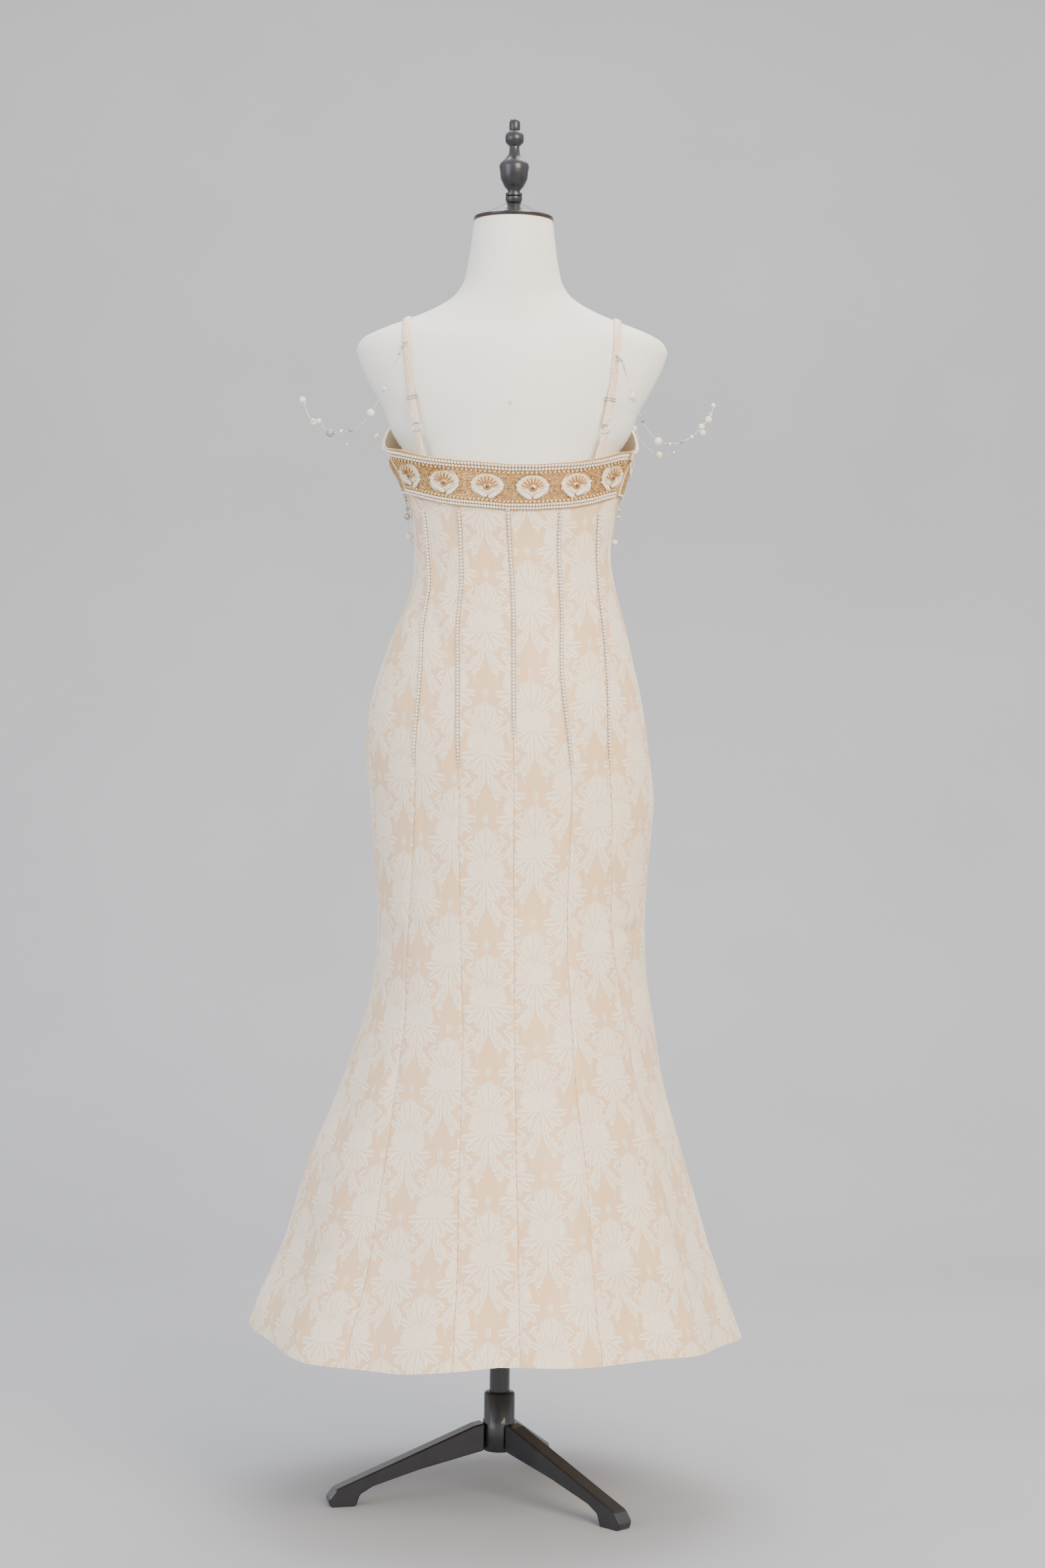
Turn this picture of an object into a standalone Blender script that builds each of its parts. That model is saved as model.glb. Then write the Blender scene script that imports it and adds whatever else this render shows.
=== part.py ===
"""Mermaid midi dress on a limbless dress form with a tripod stand.

The back of the dress faces -Y, its front +Y, and the wearer's right side is +X. The origin is on the
floor under the pole. The cloth is a ring of gores whose outer side follows one body surface, given by
a short table of half-widths and half-depths. What lies on the gores is made from the same surface,
moved out. The dress hangs on the form by its two straps.
"""
import math

import bmesh
import bpy
import numpy as np
from mathutils import Matrix, Vector

# Driving sizes of the dress, in metres.
CLOTH = 0.0015
SEAM_GAP = 0.0004
TOUCH = 0.0003
BAND_CLEAR = 0.0009
FRONT_CLEAR = 0.0013
BAND_BASE = 0.0026
BAND_BORDER = 0.0046
FRONT_TUCK = 0.0065
CUP_TUCK = 0.0045
STRAP_WIDTH = 0.009
STRAP_THICK = 0.0014
WIRE_RADIUS = 0.0005
RING_RADIUS = 0.0050
RING_WIRE = 0.0008

# Outer half-sizes of the worn dress at each height: to the wearer's left (-X) and right (+X), to the
# back (-Y) and to the front (+Y).
BODY_COLUMNS = ("z", "left", "right", "back", "front")
BODY = (
    (0.195, 0.313, 0.298, 0.301, 0.301),
    (0.235, 0.3015, 0.282, 0.290, 0.288),
    (0.310, 0.270, 0.2555, 0.264, 0.262),
    (0.408, 0.240, 0.227, 0.234, 0.232),
    (0.505, 0.2023, 0.1987, 0.205, 0.198),
    (0.603, 0.1682, 0.182, 0.178, 0.168),
    (0.660, 0.160, 0.174, 0.165, 0.150),
    (0.710, 0.1575, 0.171, 0.153, 0.141),
    (0.810, 0.164, 0.178, 0.142, 0.131),
    (0.858, 0.168, 0.181, 0.139, 0.127),
    (0.923, 0.1746, 0.174, 0.136, 0.118),
    (0.989, 0.1655, 0.1633, 0.127, 0.110),
    (1.055, 0.1458, 0.1486, 0.108, 0.100),
    (1.120, 0.1195, 0.1314, 0.090, 0.090),
    (1.160, 0.1175, 0.1245, 0.084, 0.088),
    (1.200, 0.1205, 0.128, 0.086, 0.096),
    (1.250, 0.134, 0.139, 0.092, 0.108),
    (1.2825, 0.152, 0.151, 0.098, 0.114),
    (1.330, 0.160, 0.160, 0.098, 0.114),
    (1.375, 0.150, 0.150, 0.090, 0.104),
)

# Half-sizes of the form itself.
FORM_COLUMNS = ("z", "side", "back", "front")
FORM = (
    (0.800, 0.138, 0.106, 0.098),
    (0.806, 0.150, 0.118, 0.108),
    (0.830, 0.155, 0.124, 0.112),
    (0.870, 0.160, 0.127, 0.112),
    (0.920, 0.162, 0.125, 0.107),
    (0.989, 0.152, 0.116, 0.100),
    (1.055, 0.135, 0.098, 0.091),
    (1.120, 0.112, 0.081, 0.082),
    (1.160, 0.110, 0.077, 0.080),
    (1.200, 0.114, 0.079, 0.087),
    (1.250, 0.124, 0.084, 0.099),
    (1.285, 0.131, 0.087, 0.103),
    (1.311, 0.147, 0.089, 0.099),
    (1.335, 0.156, 0.091, 0.091),
    (1.366, 0.173, 0.090, 0.080),
    (1.396, 0.187, 0.085, 0.068),
    (1.414, 0.190, 0.078, 0.059),
    (1.426, 0.181, 0.071, 0.053),
    (1.435, 0.163, 0.065, 0.049),
    (1.445, 0.137, 0.059, 0.046),
    (1.453, 0.116, 0.055, 0.045),
    (1.462, 0.096, 0.052, 0.045),
    (1.475, 0.075, 0.050, 0.046),
    (1.490, 0.063, 0.051, 0.048),
    (1.515, 0.056, 0.051, 0.050),
    (1.545, 0.0515, 0.0505, 0.0505),
    (1.570, 0.0485, 0.0485, 0.0485),
)

# The bust is two soft swellings of the front: angle from +X, height, spread and rise.
BUST_ANGLE = 54.0
BUST_HEIGHT = 1.262
BUST_SPREAD_DEG = 20.0
BUST_SPREAD_Z = 0.042
BUST_DRESS = 0.033
BUST_FORM = 0.020

# Angle of each seam at each height, in degrees from +X, negative at the back.
SEAM_COLUMNS = ("z", "back_1", "back_2", "back_3", "back_4", "back_5")
SEAMS = (
    (0.195, -125.0, -99.5, -85.0, -66.0, -32.0),
    (0.300, -125.0, -100.3, -85.0, -65.2, -32.5),
    (0.440, -126.5, -102.2, -85.3, -63.2, -33.0),
    (0.560, -132.0, -105.0, -85.6, -63.7, -36.0),
    (0.690, -137.5, -109.0, -86.1, -64.0, -40.0),
    (0.800, -133.0, -109.8, -86.8, -64.4, -44.0),
    (0.910, -129.3, -109.2, -87.2, -64.3, -45.6),
    (1.015, -131.0, -112.0, -87.5, -66.0, -41.0),
    (1.110, -142.5, -118.0, -88.0, -62.2, -35.0),
    (1.160, -147.0, -119.5, -89.5, -61.5, -31.5),
    (1.215, -149.0, -120.2, -91.2, -62.0, -33.8),
    (1.300, -150.0, -121.0, -92.0, -62.0, -34.0),
)
ROW_LEVELS = (
    0.260, 0.310, 0.370, 0.440, 0.520, 0.600, 0.655, 0.710, 0.770, 0.830, 0.890, 0.950, 1.010, 1.060,
    1.100, 1.135, 1.165, 1.195,
)
TOP_SHARES = (0.25, 0.5, 0.75, 1.0)
HEM_LEVEL = 0.210
TOP_LEVEL = 1.275
SIDE_RIGHT = -14.0
SIDE_LEFT = -166.0
FRONT_MID = 40.0
FRONT_CENTRE = 66.0

# Heights of the edges round the body, at angles from +X.
HEM_COLUMNS = ("angle", "z")
HEM = (
    (-180.0, 0.222), (-135.0, 0.206), (-112.0, 0.208), (-90.0, 0.219), (-50.0, 0.218),
    (0.0, 0.204), (45.0, 0.214), (90.0, 0.208), (135.0, 0.215), (180.0, 0.222),
)
TOP_COLUMNS = ("angle", "z")
TOP = (
    (-180.0, 1.2915), (-166.0, 1.2865), (-151.0, 1.2830), (-132.0, 1.2720), (-115.0, 1.2670),
    (-90.0, 1.2620), (-78.0, 1.2625), (-59.0, 1.2668), (-42.0, 1.2745), (-30.0, 1.2830),
    (-14.0, 1.2865), (0.0, 1.2915), (12.0, 1.3030), (24.0, 1.3230), (38.0, 1.3480), (48.0, 1.3600),
    (58.0, 1.3540), (74.0, 1.3140), (90.0, 1.2800), (106.0, 1.3140), (122.0, 1.3540),
    (132.0, 1.3600), (142.0, 1.3480), (156.0, 1.3230), (168.0, 1.3030), (180.0, 1.2915),
)
BAND_LOW_COLUMNS = ("angle", "z")
BAND_LOW = (
    (-180.0, 1.2350), (-165.0, 1.2320), (-150.0, 1.2240), (-120.0, 1.2130), (-93.0, 1.2080),
    (-76.0, 1.2085), (-53.0, 1.2130), (-31.0, 1.2235), (-16.0, 1.2320), (0.0, 1.2330),
    (45.0, 1.2150), (90.0, 1.2030), (135.0, 1.2150), (180.0, 1.2350),
)
BAND_FRONT_TOP_COLUMNS = ("angle", "z")
BAND_FRONT_TOP = (
    (-180.0, 1.2700), (-166.0, 1.2800), (-14.0, 1.2800), (0.0, 1.2700), (45.0, 1.2450),
    (90.0, 1.2330), (135.0, 1.2450), (180.0, 1.2700),
)

# The stand.
POLE_RADIUS = 0.0125
POLE_WALL = 0.0025
POLE_TOP = 0.600
INNER_POLE_BOTTOM = 0.300
FORM_BOTTOM = 0.800
FORM_SIDES = 40
COLLAR_RADIUS = 0.0190
COLLAR_TOP = 0.130
HUB_BOTTOM = 0.058
HUB_RADIUS = 0.0205
LEG_ANGLES = (195.0, 315.0, 75.0)
LEG_WIDTH = 0.022
# One leg's outline as distance from the pole and height, from under the hub round by the foot.
LEG_COLUMNS = ("reach", "z")
LEG = (
    (0.0208, 0.060), (0.100, 0.041), (0.160, 0.023), (0.176, 0.014), (0.181, 0.0), (0.212, 0.0),
    (0.215, 0.010), (0.206, 0.0215), (0.120, 0.056), (0.033, 0.091), (0.0208, 0.0935),
)
NECK_TOP = 1.570

# The zip's slider and pull, at the top of the wearer's right side seam.
ZIP_ANGLE = -17.0
ZIP_Z = 1.2750
PULL_THICK = 0.0012
SLIDER_THICK = 0.0024
SLIDER_LIFT = 0.0006
HINGE_LIFT = 0.0022
# Outlines in millimetres: the slider's fork, and the pull from its eye down to its tip and back.
OUTLINE_COLUMNS = ("across", "up")
SLIDER_OUTLINE = (
    (-2.2, 0.0), (2.2, 0.0), (2.2, 3.2), (1.2, 3.2), (1.2, 1.2), (-1.2, 1.2), (-1.2, 3.2), (-2.2, 3.2),
)
PULL_OUTLINE = (
    (-0.9, 0.6), (-0.9, -2.6), (-1.1, -4.5), (-1.6, -10.0), (-1.8, -13.2), (-1.5, -15.2), (-0.8, -16.2),
    (0.8, -16.2), (1.5, -15.2), (1.8, -13.2), (1.6, -10.0), (1.1, -4.5), (0.9, -2.6), (0.9, 0.6),
)

# Turned profiles as radius and height over the piece's own foot, from the top down.
PROFILE_COLUMNS = ("radius", "z")
CAP_HEIGHT = 0.0225
CAP_PROFILE = (
    (0.0, 0.0225), (0.0085, 0.0220), (0.0150, 0.0195), (0.0260, 0.0140), (0.0370, 0.0092),
    (0.0455, 0.0062), (0.0488, 0.0045), (0.0488, 0.0008), (0.0480, 0.0), (0.0, 0.0),
)
FINIAL_PROFILE = (
    (0.0, 0.1040), (0.0050, 0.1025), (0.0068, 0.0985), (0.0068, 0.0910), (0.0060, 0.0885),
    (0.0110, 0.0840), (0.0117, 0.0790), (0.0110, 0.0740), (0.0060, 0.0690), (0.0068, 0.0600),
    (0.0120, 0.0530), (0.0175, 0.0480), (0.0186, 0.0440), (0.0175, 0.0385), (0.0165, 0.0290),
    (0.0120, 0.0200), (0.0076, 0.0150), (0.0076, 0.0125), (0.0104, 0.0115), (0.0104, 0.0085),
    (0.0090, 0.0075), (0.0104, 0.0065), (0.0104, 0.0035), (0.0090, 0.0), (0.0, 0.0),
)


def rows(table, columns, name):
    return np.array(table)[:, columns.index(name)]


def curve_through(at, where, values):
    """A smooth cubic through the values of a table, read at the given places."""
    at = np.asarray(at, float)
    slope = np.gradient(values, where)
    i = np.clip(np.searchsorted(where, at) - 1, 0, len(where) - 2)
    step = where[i + 1] - where[i]
    t = (at - where[i]) / step
    return (
        (2 * t**3 - 3 * t**2 + 1) * values[i]
        + (t**3 - 2 * t**2 + t) * step * slope[i]
        + (3 * t**2 - 2 * t**3) * values[i + 1]
        + (t**3 - t**2) * step * slope[i + 1]
    )


def edge_height(table, columns, angle):
    """The height of an edge that runs round the body, at an angle in degrees."""
    angle = np.mod(np.asarray(angle, float) + 180.0, 360.0) - 180.0
    return np.interp(angle, rows(table, columns, "angle"), rows(table, columns, "z"))


def bust(angle, z, rise):
    """How far the two swellings of the bust push the surface out."""
    high = np.exp(-(((z - BUST_HEIGHT) / BUST_SPREAD_Z) ** 2) / 2)
    right = np.exp(-(((angle - BUST_ANGLE) / BUST_SPREAD_DEG) ** 2) / 2)
    left = np.exp(-(((angle - (180.0 - BUST_ANGLE)) / BUST_SPREAD_DEG) ** 2) / 2)
    return rise * high * (right + left)


def flutes(angle, z):
    """Soft waves of the flare: one for each gore, growing from the knee to the hem."""
    grow = np.clip((0.60 - z) / 0.40, 0.0, 1.0) ** 1.5
    return 0.005 * grow * (np.cos(np.radians(11.0 * angle + 70.0)) + 0.5 * np.sin(np.radians(5.0 * angle)))


def dress_point(angle, z, out=0.0):
    """A point of the dress's outer surface at an angle and a height, moved out along its normal."""
    angle, z = np.broadcast_arrays(np.asarray(angle, float), np.asarray(z, float))

    def surface(a, h):
        c, s = np.cos(np.radians(a)), np.sin(np.radians(a))
        where = rows(BODY, BODY_COLUMNS, "z")
        size = {k: curve_through(h, where, rows(BODY, BODY_COLUMNS, k)) for k in BODY_COLUMNS[1:]}
        wide = np.where(c < 0, size["left"], size["right"])
        deep = np.where(s < 0, size["back"], size["front"])
        more = bust(a, h, BUST_DRESS) + flutes(a, h)
        return np.stack([(wide + more) * c, (deep + more) * s, h], axis=-1)

    point = surface(angle, z)
    round_it = surface(angle + 0.5, z) - surface(angle - 0.5, z)
    up_it = surface(angle, z + 0.002) - surface(angle, z - 0.002)
    normal = np.cross(round_it, up_it)
    normal /= np.linalg.norm(normal, axis=-1, keepdims=True)
    return point + normal * np.asarray(out)[..., None]


def form_point(angle, z):
    """A point of the form's surface."""
    angle, z = np.broadcast_arrays(np.asarray(angle, float), np.asarray(z, float))
    c, s = np.cos(np.radians(angle)), np.sin(np.radians(angle))
    where = rows(FORM, FORM_COLUMNS, "z")
    size = {k: curve_through(z, where, rows(FORM, FORM_COLUMNS, k)) for k in FORM_COLUMNS[1:]}
    deep = np.where(s < 0, size["back"], size["front"])
    more = bust(angle, z, BUST_FORM)
    return np.stack([(size["side"] + more) * c, (deep + more) * s, z], axis=-1)


def seam_angle(name, z):
    where = rows(SEAMS, SEAM_COLUMNS, "z")
    return curve_through(z, where, rows(SEAMS, SEAM_COLUMNS, name))


def make_material(name, colour, roughness, metallic=0.0):
    material = bpy.data.materials.new(name)
    material.use_nodes = True
    shader = material.node_tree.nodes["Principled BSDF"]
    shader.inputs["Base Color"].default_value = (*colour, 1.0)
    shader.inputs["Roughness"].default_value = roughness
    shader.inputs["Metallic"].default_value = metallic
    return material


def add_object(name, mesh, material, smooth=True):
    piece = bpy.data.objects.new(name, mesh)
    piece.data.materials.append(MATERIALS[material])
    PARTS.objects.link(piece)
    if smooth and isinstance(mesh, bpy.types.Mesh):
        mesh.shade_smooth()
    return piece


def mesh_of(name, points, faces):
    mesh = bpy.data.meshes.new(name)
    mesh.from_pydata([tuple(p) for p in points], [], [tuple(f) for f in faces])
    mesh.update()
    return mesh


def gore_rows(low, high):
    """Heights of a gore's rows: the levels that its profile needs, then a few up to its top edge."""
    inner = [np.full_like(low, level) for level in ROW_LEVELS]
    last = ROW_LEVELS[-1]
    upper = [last + (high - last) * share for share in TOP_SHARES]
    return np.stack([low, *inner, *upper])


def add_panel(name, angle, z, material):
    """A closed wall of the cloth's thickness: its outer side and, moved in along the normal, its inner."""
    outer = dress_point(angle, z)
    inner = dress_point(angle, z, np.full(angle.shape, -CLOTH))
    return add_loft(name, np.concatenate([outer, inner[:, ::-1]], axis=1), material)


def add_gore(name, first, last, low, high, across=4):
    """One long panel of the dress between two seams and two edges.

    first and last give the seam's angle at a height, low and high the edge's height at an angle.
    """
    side = np.linspace(0.0, 1.0, across + 1)
    low_angle = first(HEM_LEVEL) * (1 - side) + last(HEM_LEVEL) * side
    high_angle = first(TOP_LEVEL) * (1 - side) + last(TOP_LEVEL) * side
    z = gore_rows(low(low_angle), high(high_angle))
    reach = np.linalg.norm(dress_point(-90.0, z)[..., :2], axis=-1)
    gap = np.degrees(SEAM_GAP / 2 / reach)
    angle = (first(z) + gap) * (1 - side) + (last(z) - gap) * side
    return add_panel(name, angle, z, "brocade")


def add_cup(name, first, last, low, high, across=12, along=5):
    """One cup of the front, from under the band's upper edge to the neckline."""
    angle = np.linspace(first, last, across + 1)[None, :]
    rise = np.linspace(0.0, 1.0, along + 1)[:, None]
    z = low(angle) * (1 - rise) + high(angle) * rise
    return add_panel(name, np.broadcast_to(angle, z.shape), z, "brocade")


def add_loft(name, rings, material, smooth=True):
    """A closed solid through a row of rings with equally many points, capped at both ends."""
    rings = np.asarray(rings)
    count, size = rings.shape[:2]
    faces = []
    for low in range(0, (count - 1) * size, size):
        for k in range(size):
            n = (k + 1) % size
            faces.append((low + k, low + n, low + size + n, low + size + k))
    for start in (0, (count - 1) * size):
        for k in range(size // 2 - 1):
            faces.append((start + k, start + k + 1, start + size - 2 - k, start + size - 1 - k))
    mesh = mesh_of(name, rings.reshape(-1, 3), faces)
    work = bmesh.new()
    work.from_mesh(mesh)
    bmesh.ops.recalc_face_normals(work, faces=work.faces)
    work.to_mesh(mesh)
    work.free()
    piece = add_object(name, mesh, material, smooth)
    if smooth:
        mesh.set_sharp_from_angle(angle=math.radians(40))
    return piece


def add_band(name, first, last, low, high, stations, bordered=True):
    """The embroidered band: a wall on the gores with a raised pearl border on both long edges."""
    clear = BAND_CLEAR if bordered else FRONT_CLEAR
    profile = (
        (0.0, clear), (0.0, BAND_BORDER), (0.09, BAND_BORDER), (0.12, BAND_BASE),
        (0.88, BAND_BASE), (0.91, BAND_BORDER), (1.0, BAND_BORDER), (1.0, clear),
        (0.67, clear), (0.33, clear),
    ) if bordered else (
        (0.0, clear), (0.0, BAND_BASE), (0.5, BAND_BASE), (1.0, BAND_BASE), (1.0, clear), (0.5, clear),
    )
    angle = np.linspace(first, last, stations)
    bottom, top = low(angle), high(angle)
    rings = []
    for share, out in profile:
        z = bottom + (top - bottom) * share
        rings.append(dress_point(angle, z, np.full(stations, out)))
    return add_loft(name, np.stack(rings, axis=1), "band")


def add_turned(name, profile, material, steps=32):
    """A solid of revolution about Z. The profile runs down the outer side, then back by the axis."""
    count = len(profile)
    edges = [(i, i + 1) for i in range(count - 1)]
    if profile[0][0] > 0 and profile[-1][0] > 0:
        edges.append((count - 1, 0))
    mesh = bpy.data.meshes.new(name)
    mesh.from_pydata([(r, 0.0, z) for r, z in profile], edges, [])
    piece = add_object(name, mesh, material)
    screw = piece.modifiers.new("turn", "SCREW")
    screw.steps = steps
    screw.render_steps = steps
    screw.use_merge_vertices = True
    screw.merge_threshold = 0.00005
    screw.use_smooth_shade = True
    return piece


def add_tube(name, points, radius, material, sides=1, bulge=None, closed=False):
    """A tube through points, as a curve with filled caps. bulge scales the radius at each point."""
    data = bpy.data.curves.new(name, "CURVE")
    data.dimensions = "3D"
    data.bevel_depth = radius
    data.bevel_resolution = sides
    data.use_fill_caps = not closed
    spline = data.splines.new("POLY")
    spline.points.add(len(points) - 1)
    for i, place in enumerate(points):
        spline.points[i].co = (*place, 1.0)
        spline.points[i].radius = 1.0 if bulge is None else float(bulge[i])
    spline.use_cyclic_u = closed
    return add_object(name, data, material)


def add_outline(name, outline, thickness, matrix, material, bevel=0.0):
    """A flat outline in its own XY plane, made a plate of a thickness and placed by a matrix."""
    data = bpy.data.curves.new(name, "CURVE")
    data.dimensions = "2D"
    data.fill_mode = "BOTH"
    data.extrude = thickness / 2
    spline = data.splines.new("POLY")
    spline.points.add(len(outline) - 1)
    for i, (x, y) in enumerate(outline):
        spline.points[i].co = (x, y, 0.0, 1.0)
    spline.use_cyclic_u = True
    piece = add_object(name, data, material)
    piece.matrix_world = matrix
    if bevel:
        weld = piece.modifiers.new("weld", "WELD")
        weld.merge_threshold = 0.00002
        rounding = piece.modifiers.new("rounding", "BEVEL")
        rounding.width = bevel
        rounding.segments = 1
        rounding.limit_method = "ANGLE"
    return piece


def frame_at(origin, x_axis, y_axis):
    """A matrix with the given origin and the two given directions as its X and Y axes."""
    x_axis = Vector(x_axis).normalized()
    z_axis = x_axis.cross(Vector(y_axis)).normalized()
    y_axis = z_axis.cross(x_axis)
    matrix = Matrix((x_axis, y_axis, z_axis)).transposed().to_4x4()
    matrix.translation = Vector(origin)
    return matrix


def smooth_path(points, count):
    """Points at even steps on a smooth curve through a short list of points."""
    points = np.asarray(points, float)
    along = np.concatenate([[0.0], np.cumsum(np.linalg.norm(np.diff(points, axis=0), axis=1))])
    at = np.linspace(0.0, along[-1], count)
    return np.stack([curve_through(at, along, points[:, k]) for k in range(3)], axis=1)


# Straps. Each runs straight up from its ring at the back, lies on the form over the shoulder, and
# runs straight to the top of the front cup. Where it lies on the form, way goes from -1 at the back
# over 0 on the shoulder line to 1 at the front, and the drop below that line grows as its square.
STRAP_COLUMNS = ("way", "x")
STRAP = ((-1.0, 0.1225), (-0.7, 0.1270), (-0.4, 0.1284), (0.0, 0.1284), (0.6, 0.1272), (1.0, 0.1235))
STRAP_DROP_BACK = 0.085
STRAP_DROP_FRONT = 0.050
STRAP_CLEAR = 0.0009
FOLD_CLEAR = 0.0007
STRAP_STEPS = 19
FREE_STRETCH = (0.0, 0.30, 0.62, 0.85)
SLIDER_AT = 2
RING_AT_BACK = (0.1140, -0.0660, 1.3080)
CUP_ANGLE = 48.0
STRAP_END = 0.0016
TAB_ANGLE = -43.5
TAB_CLEAR = 0.0010


def shoulder_height(x):
    """The height where the form's shoulder line passes at a distance from the middle plane."""
    z, side = rows(FORM, FORM_COLUMNS, "z"), rows(FORM, FORM_COLUMNS, "side")
    top = z > 1.413
    fine = np.linspace(1.414, 1.50, 800)
    wide = curve_through(fine, z[top], side[top])
    return float(np.interp(-x, -wide, fine))


def on_form(x, drop, back):
    """A point of the form's back or front at a distance from the middle plane, and its normal."""
    z = shoulder_height(x) - drop
    wide = float(curve_through(z, rows(FORM, FORM_COLUMNS, "z"), rows(FORM, FORM_COLUMNS, "side")))
    angle = math.degrees(math.acos(min(1.0, x / wide))) * (-1 if back else 1)
    point = form_point(angle, z)
    round_it = form_point(angle + 0.5, z) - form_point(angle - 0.5, z)
    up_it = form_point(angle, z + 0.0005) - form_point(angle, z - 0.0005)
    normal = np.cross(round_it, up_it)
    return point, normal / np.linalg.norm(normal)


def strap_line(out):
    """Middle line and normals of the right strap, its outer side turned away from the form."""
    points, normals = [], []
    ring = np.array(RING_AT_BACK)
    way = np.linspace(-1.0, 1.0, STRAP_STEPS)
    place = np.interp(way, rows(STRAP, STRAP_COLUMNS, "way"), rows(STRAP, STRAP_COLUMNS, "x"))
    for t, x in zip(way, place):
        drop = STRAP_DROP_BACK if t < 0 else STRAP_DROP_FRONT
        point, normal = on_form(x, drop * t * t, t < 0)
        points.append(point + normal * out)
        normals.append(normal)
    touch, touch_normal = points[0], normals[0]
    start = ring + np.array((0.0004, -0.0004, 0.0062))
    straight = [start + (touch - start) * t for t in FREE_STRETCH]
    flat_normal = np.cross(touch - start, (1.0, 0.25, 0.0))
    flat_normal /= np.linalg.norm(flat_normal)
    if flat_normal[1] > 0:
        flat_normal = -flat_normal
    points = straight + points
    normals = [flat_normal * (1 - t) + touch_normal * t for t in FREE_STRETCH] + normals
    top = float(edge_height(TOP, TOP_COLUMNS, CUP_ANGLE))
    outer = dress_point(CUP_ANGLE, top + STRAP_END, -CLOTH / 2)
    last, last_normal = points[-1], normals[-1]
    end_normal = dress_point(CUP_ANGLE, top, 0.001) - dress_point(CUP_ANGLE, top, 0.0)
    end_normal /= np.linalg.norm(end_normal)
    for t in (0.35, 0.7, 1.0):
        points.append(last + (outer - last) * t)
        normals.append(last_normal * (1 - t) + end_normal * t)
    points, normals = np.array(points), np.array(normals)
    tangent = np.gradient(points, axis=0)
    tangent /= np.linalg.norm(tangent, axis=1, keepdims=True)
    normals -= tangent * np.sum(normals * tangent, axis=1, keepdims=True)
    return points, normals / np.linalg.norm(normals, axis=1, keepdims=True)


def strap_spot(z, back):
    """Where a garland's end touches the outer face of the right strap, at a height."""
    points, normals = strap_line(STRAP_CLEAR + STRAP_THICK / 2)
    part = (points[:, 1] < 0) == back
    at = np.argmin(np.abs(points[part][:, 2] - z))
    return points[part][at] + normals[part][at] * (STRAP_THICK / 2 + TOUCH + WIRE_RADIUS)


def ribbon_rings(points, normals, width, thick):
    """Rectangular rings of a ribbon along a line, lying flat against the given normals."""
    tangent = np.gradient(points, axis=0)
    tangent /= np.linalg.norm(tangent, axis=1, keepdims=True)
    across = np.cross(tangent, normals)
    across /= np.linalg.norm(across, axis=1, keepdims=True)
    flat = np.cross(across, tangent)
    corners = ((-0.5, -0.5), (0.5, -0.5), (0.5, 0.5), (-0.5, 0.5))
    return np.stack([points + across * width * a + flat * thick * b for a, b in corners], axis=1)


def mirrored(points, side):
    """The same points on the wearer's right (side 1) or left (side -1)."""
    return np.asarray(points) * np.array((side, 1.0, 1.0))


# Garlands: a stiff fine wire with pearls, from the ring on the strap's back out round the arm's
# opening to a ring on the strap's front. Each row is a place on the wire in millimetres and the
# diameter of the pearl there, or 0. The wire's two ends meet the strap at the heights given first.
GARLAND_ENDS = {"left": (1.413, 1.402), "right": (1.400, 1.402)}
GARLAND_COLUMNS = ("x", "y", "z", "pearl")
GARLAND = {
    "left": (
        (-134, -80, 1397, 3), (-138, -85, 1386, 3), (-142, -87, 1376, 0),
        (-152, -88, 1351, 6), (-161, -88, 1334, 0), (-168, -86, 1323, 10), (-180, -82, 1309, 0),
        (-192, -76, 1303, 5), (-205, -68, 1302, 5), (-219, -58, 1301, 10), (-234, -43, 1317, 7),
        (-242, -33, 1319, 5), (-256, -12, 1346, 9), (-261, 4, 1354, 0), (-257, 22, 1346, 5),
        (-246, 42, 1325, 9), (-228, 62, 1308, 0), (-206, 78, 1302, 5), (-188, 86, 1305, 0),
        (-170, 90, 1313, 9), (-156, 90, 1330, 0), (-146, 84, 1352, 9), (-140, 76, 1375, 0),
        (-136, 66, 1388, 0),
    ),
    "right": (
        (134, -80, 1386, 3), (137, -85, 1374, 3), (140, -87, 1365, 0),
        (145, -88, 1346, 10), (152, -88, 1331, 0), (158, -87, 1317, 6), (168, -84, 1302, 0),
        (178, -80, 1293, 10), (192, -72, 1291, 4), (207, -62, 1295, 4), (219, -52, 1302, 5),
        (232, -40, 1316, 8), (241, -28, 1326, 9), (248, -8, 1346, 6), (246, 16, 1338, 5),
        (238, 38, 1318, 9), (222, 58, 1303, 0), (204, 72, 1296, 4), (186, 82, 1294, 9),
        (168, 87, 1308, 0), (154, 88, 1328, 9), (145, 82, 1352, 0), (139, 74, 1375, 0),
        (136, 66, 1386, 0),
    ),
}

# The strand that hangs across the front of the waist, from one end of the band to the other: angle
# from +X, drop below the band's lower edge and the pearl there, in degrees and millimetres.
STRAND_CLEAR = 0.0014
STRAND_COLUMNS = ("angle", "drop", "pearl")
STRAND = (
    (-11.5, -2, 0), (-10.5, 8, 0), (-9, 15, 3), (-6, 24, 4), (0, 38, 0), (8, 50, 8),
    (20, 64, 0), (32, 75, 10),
    (46, 84, 0), (60, 90, 5), (76, 94, 8), (90, 96, 10), (104, 94, 8), (120, 89, 5), (134, 82, 0),
    (148, 73, 10), (160, 60, 0), (172, 48, 10), (180, 38, 0), (186, 28, 8), (190, 18, 5),
    (190.5, 8, 0), (191.5, -2, 0),
)


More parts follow.
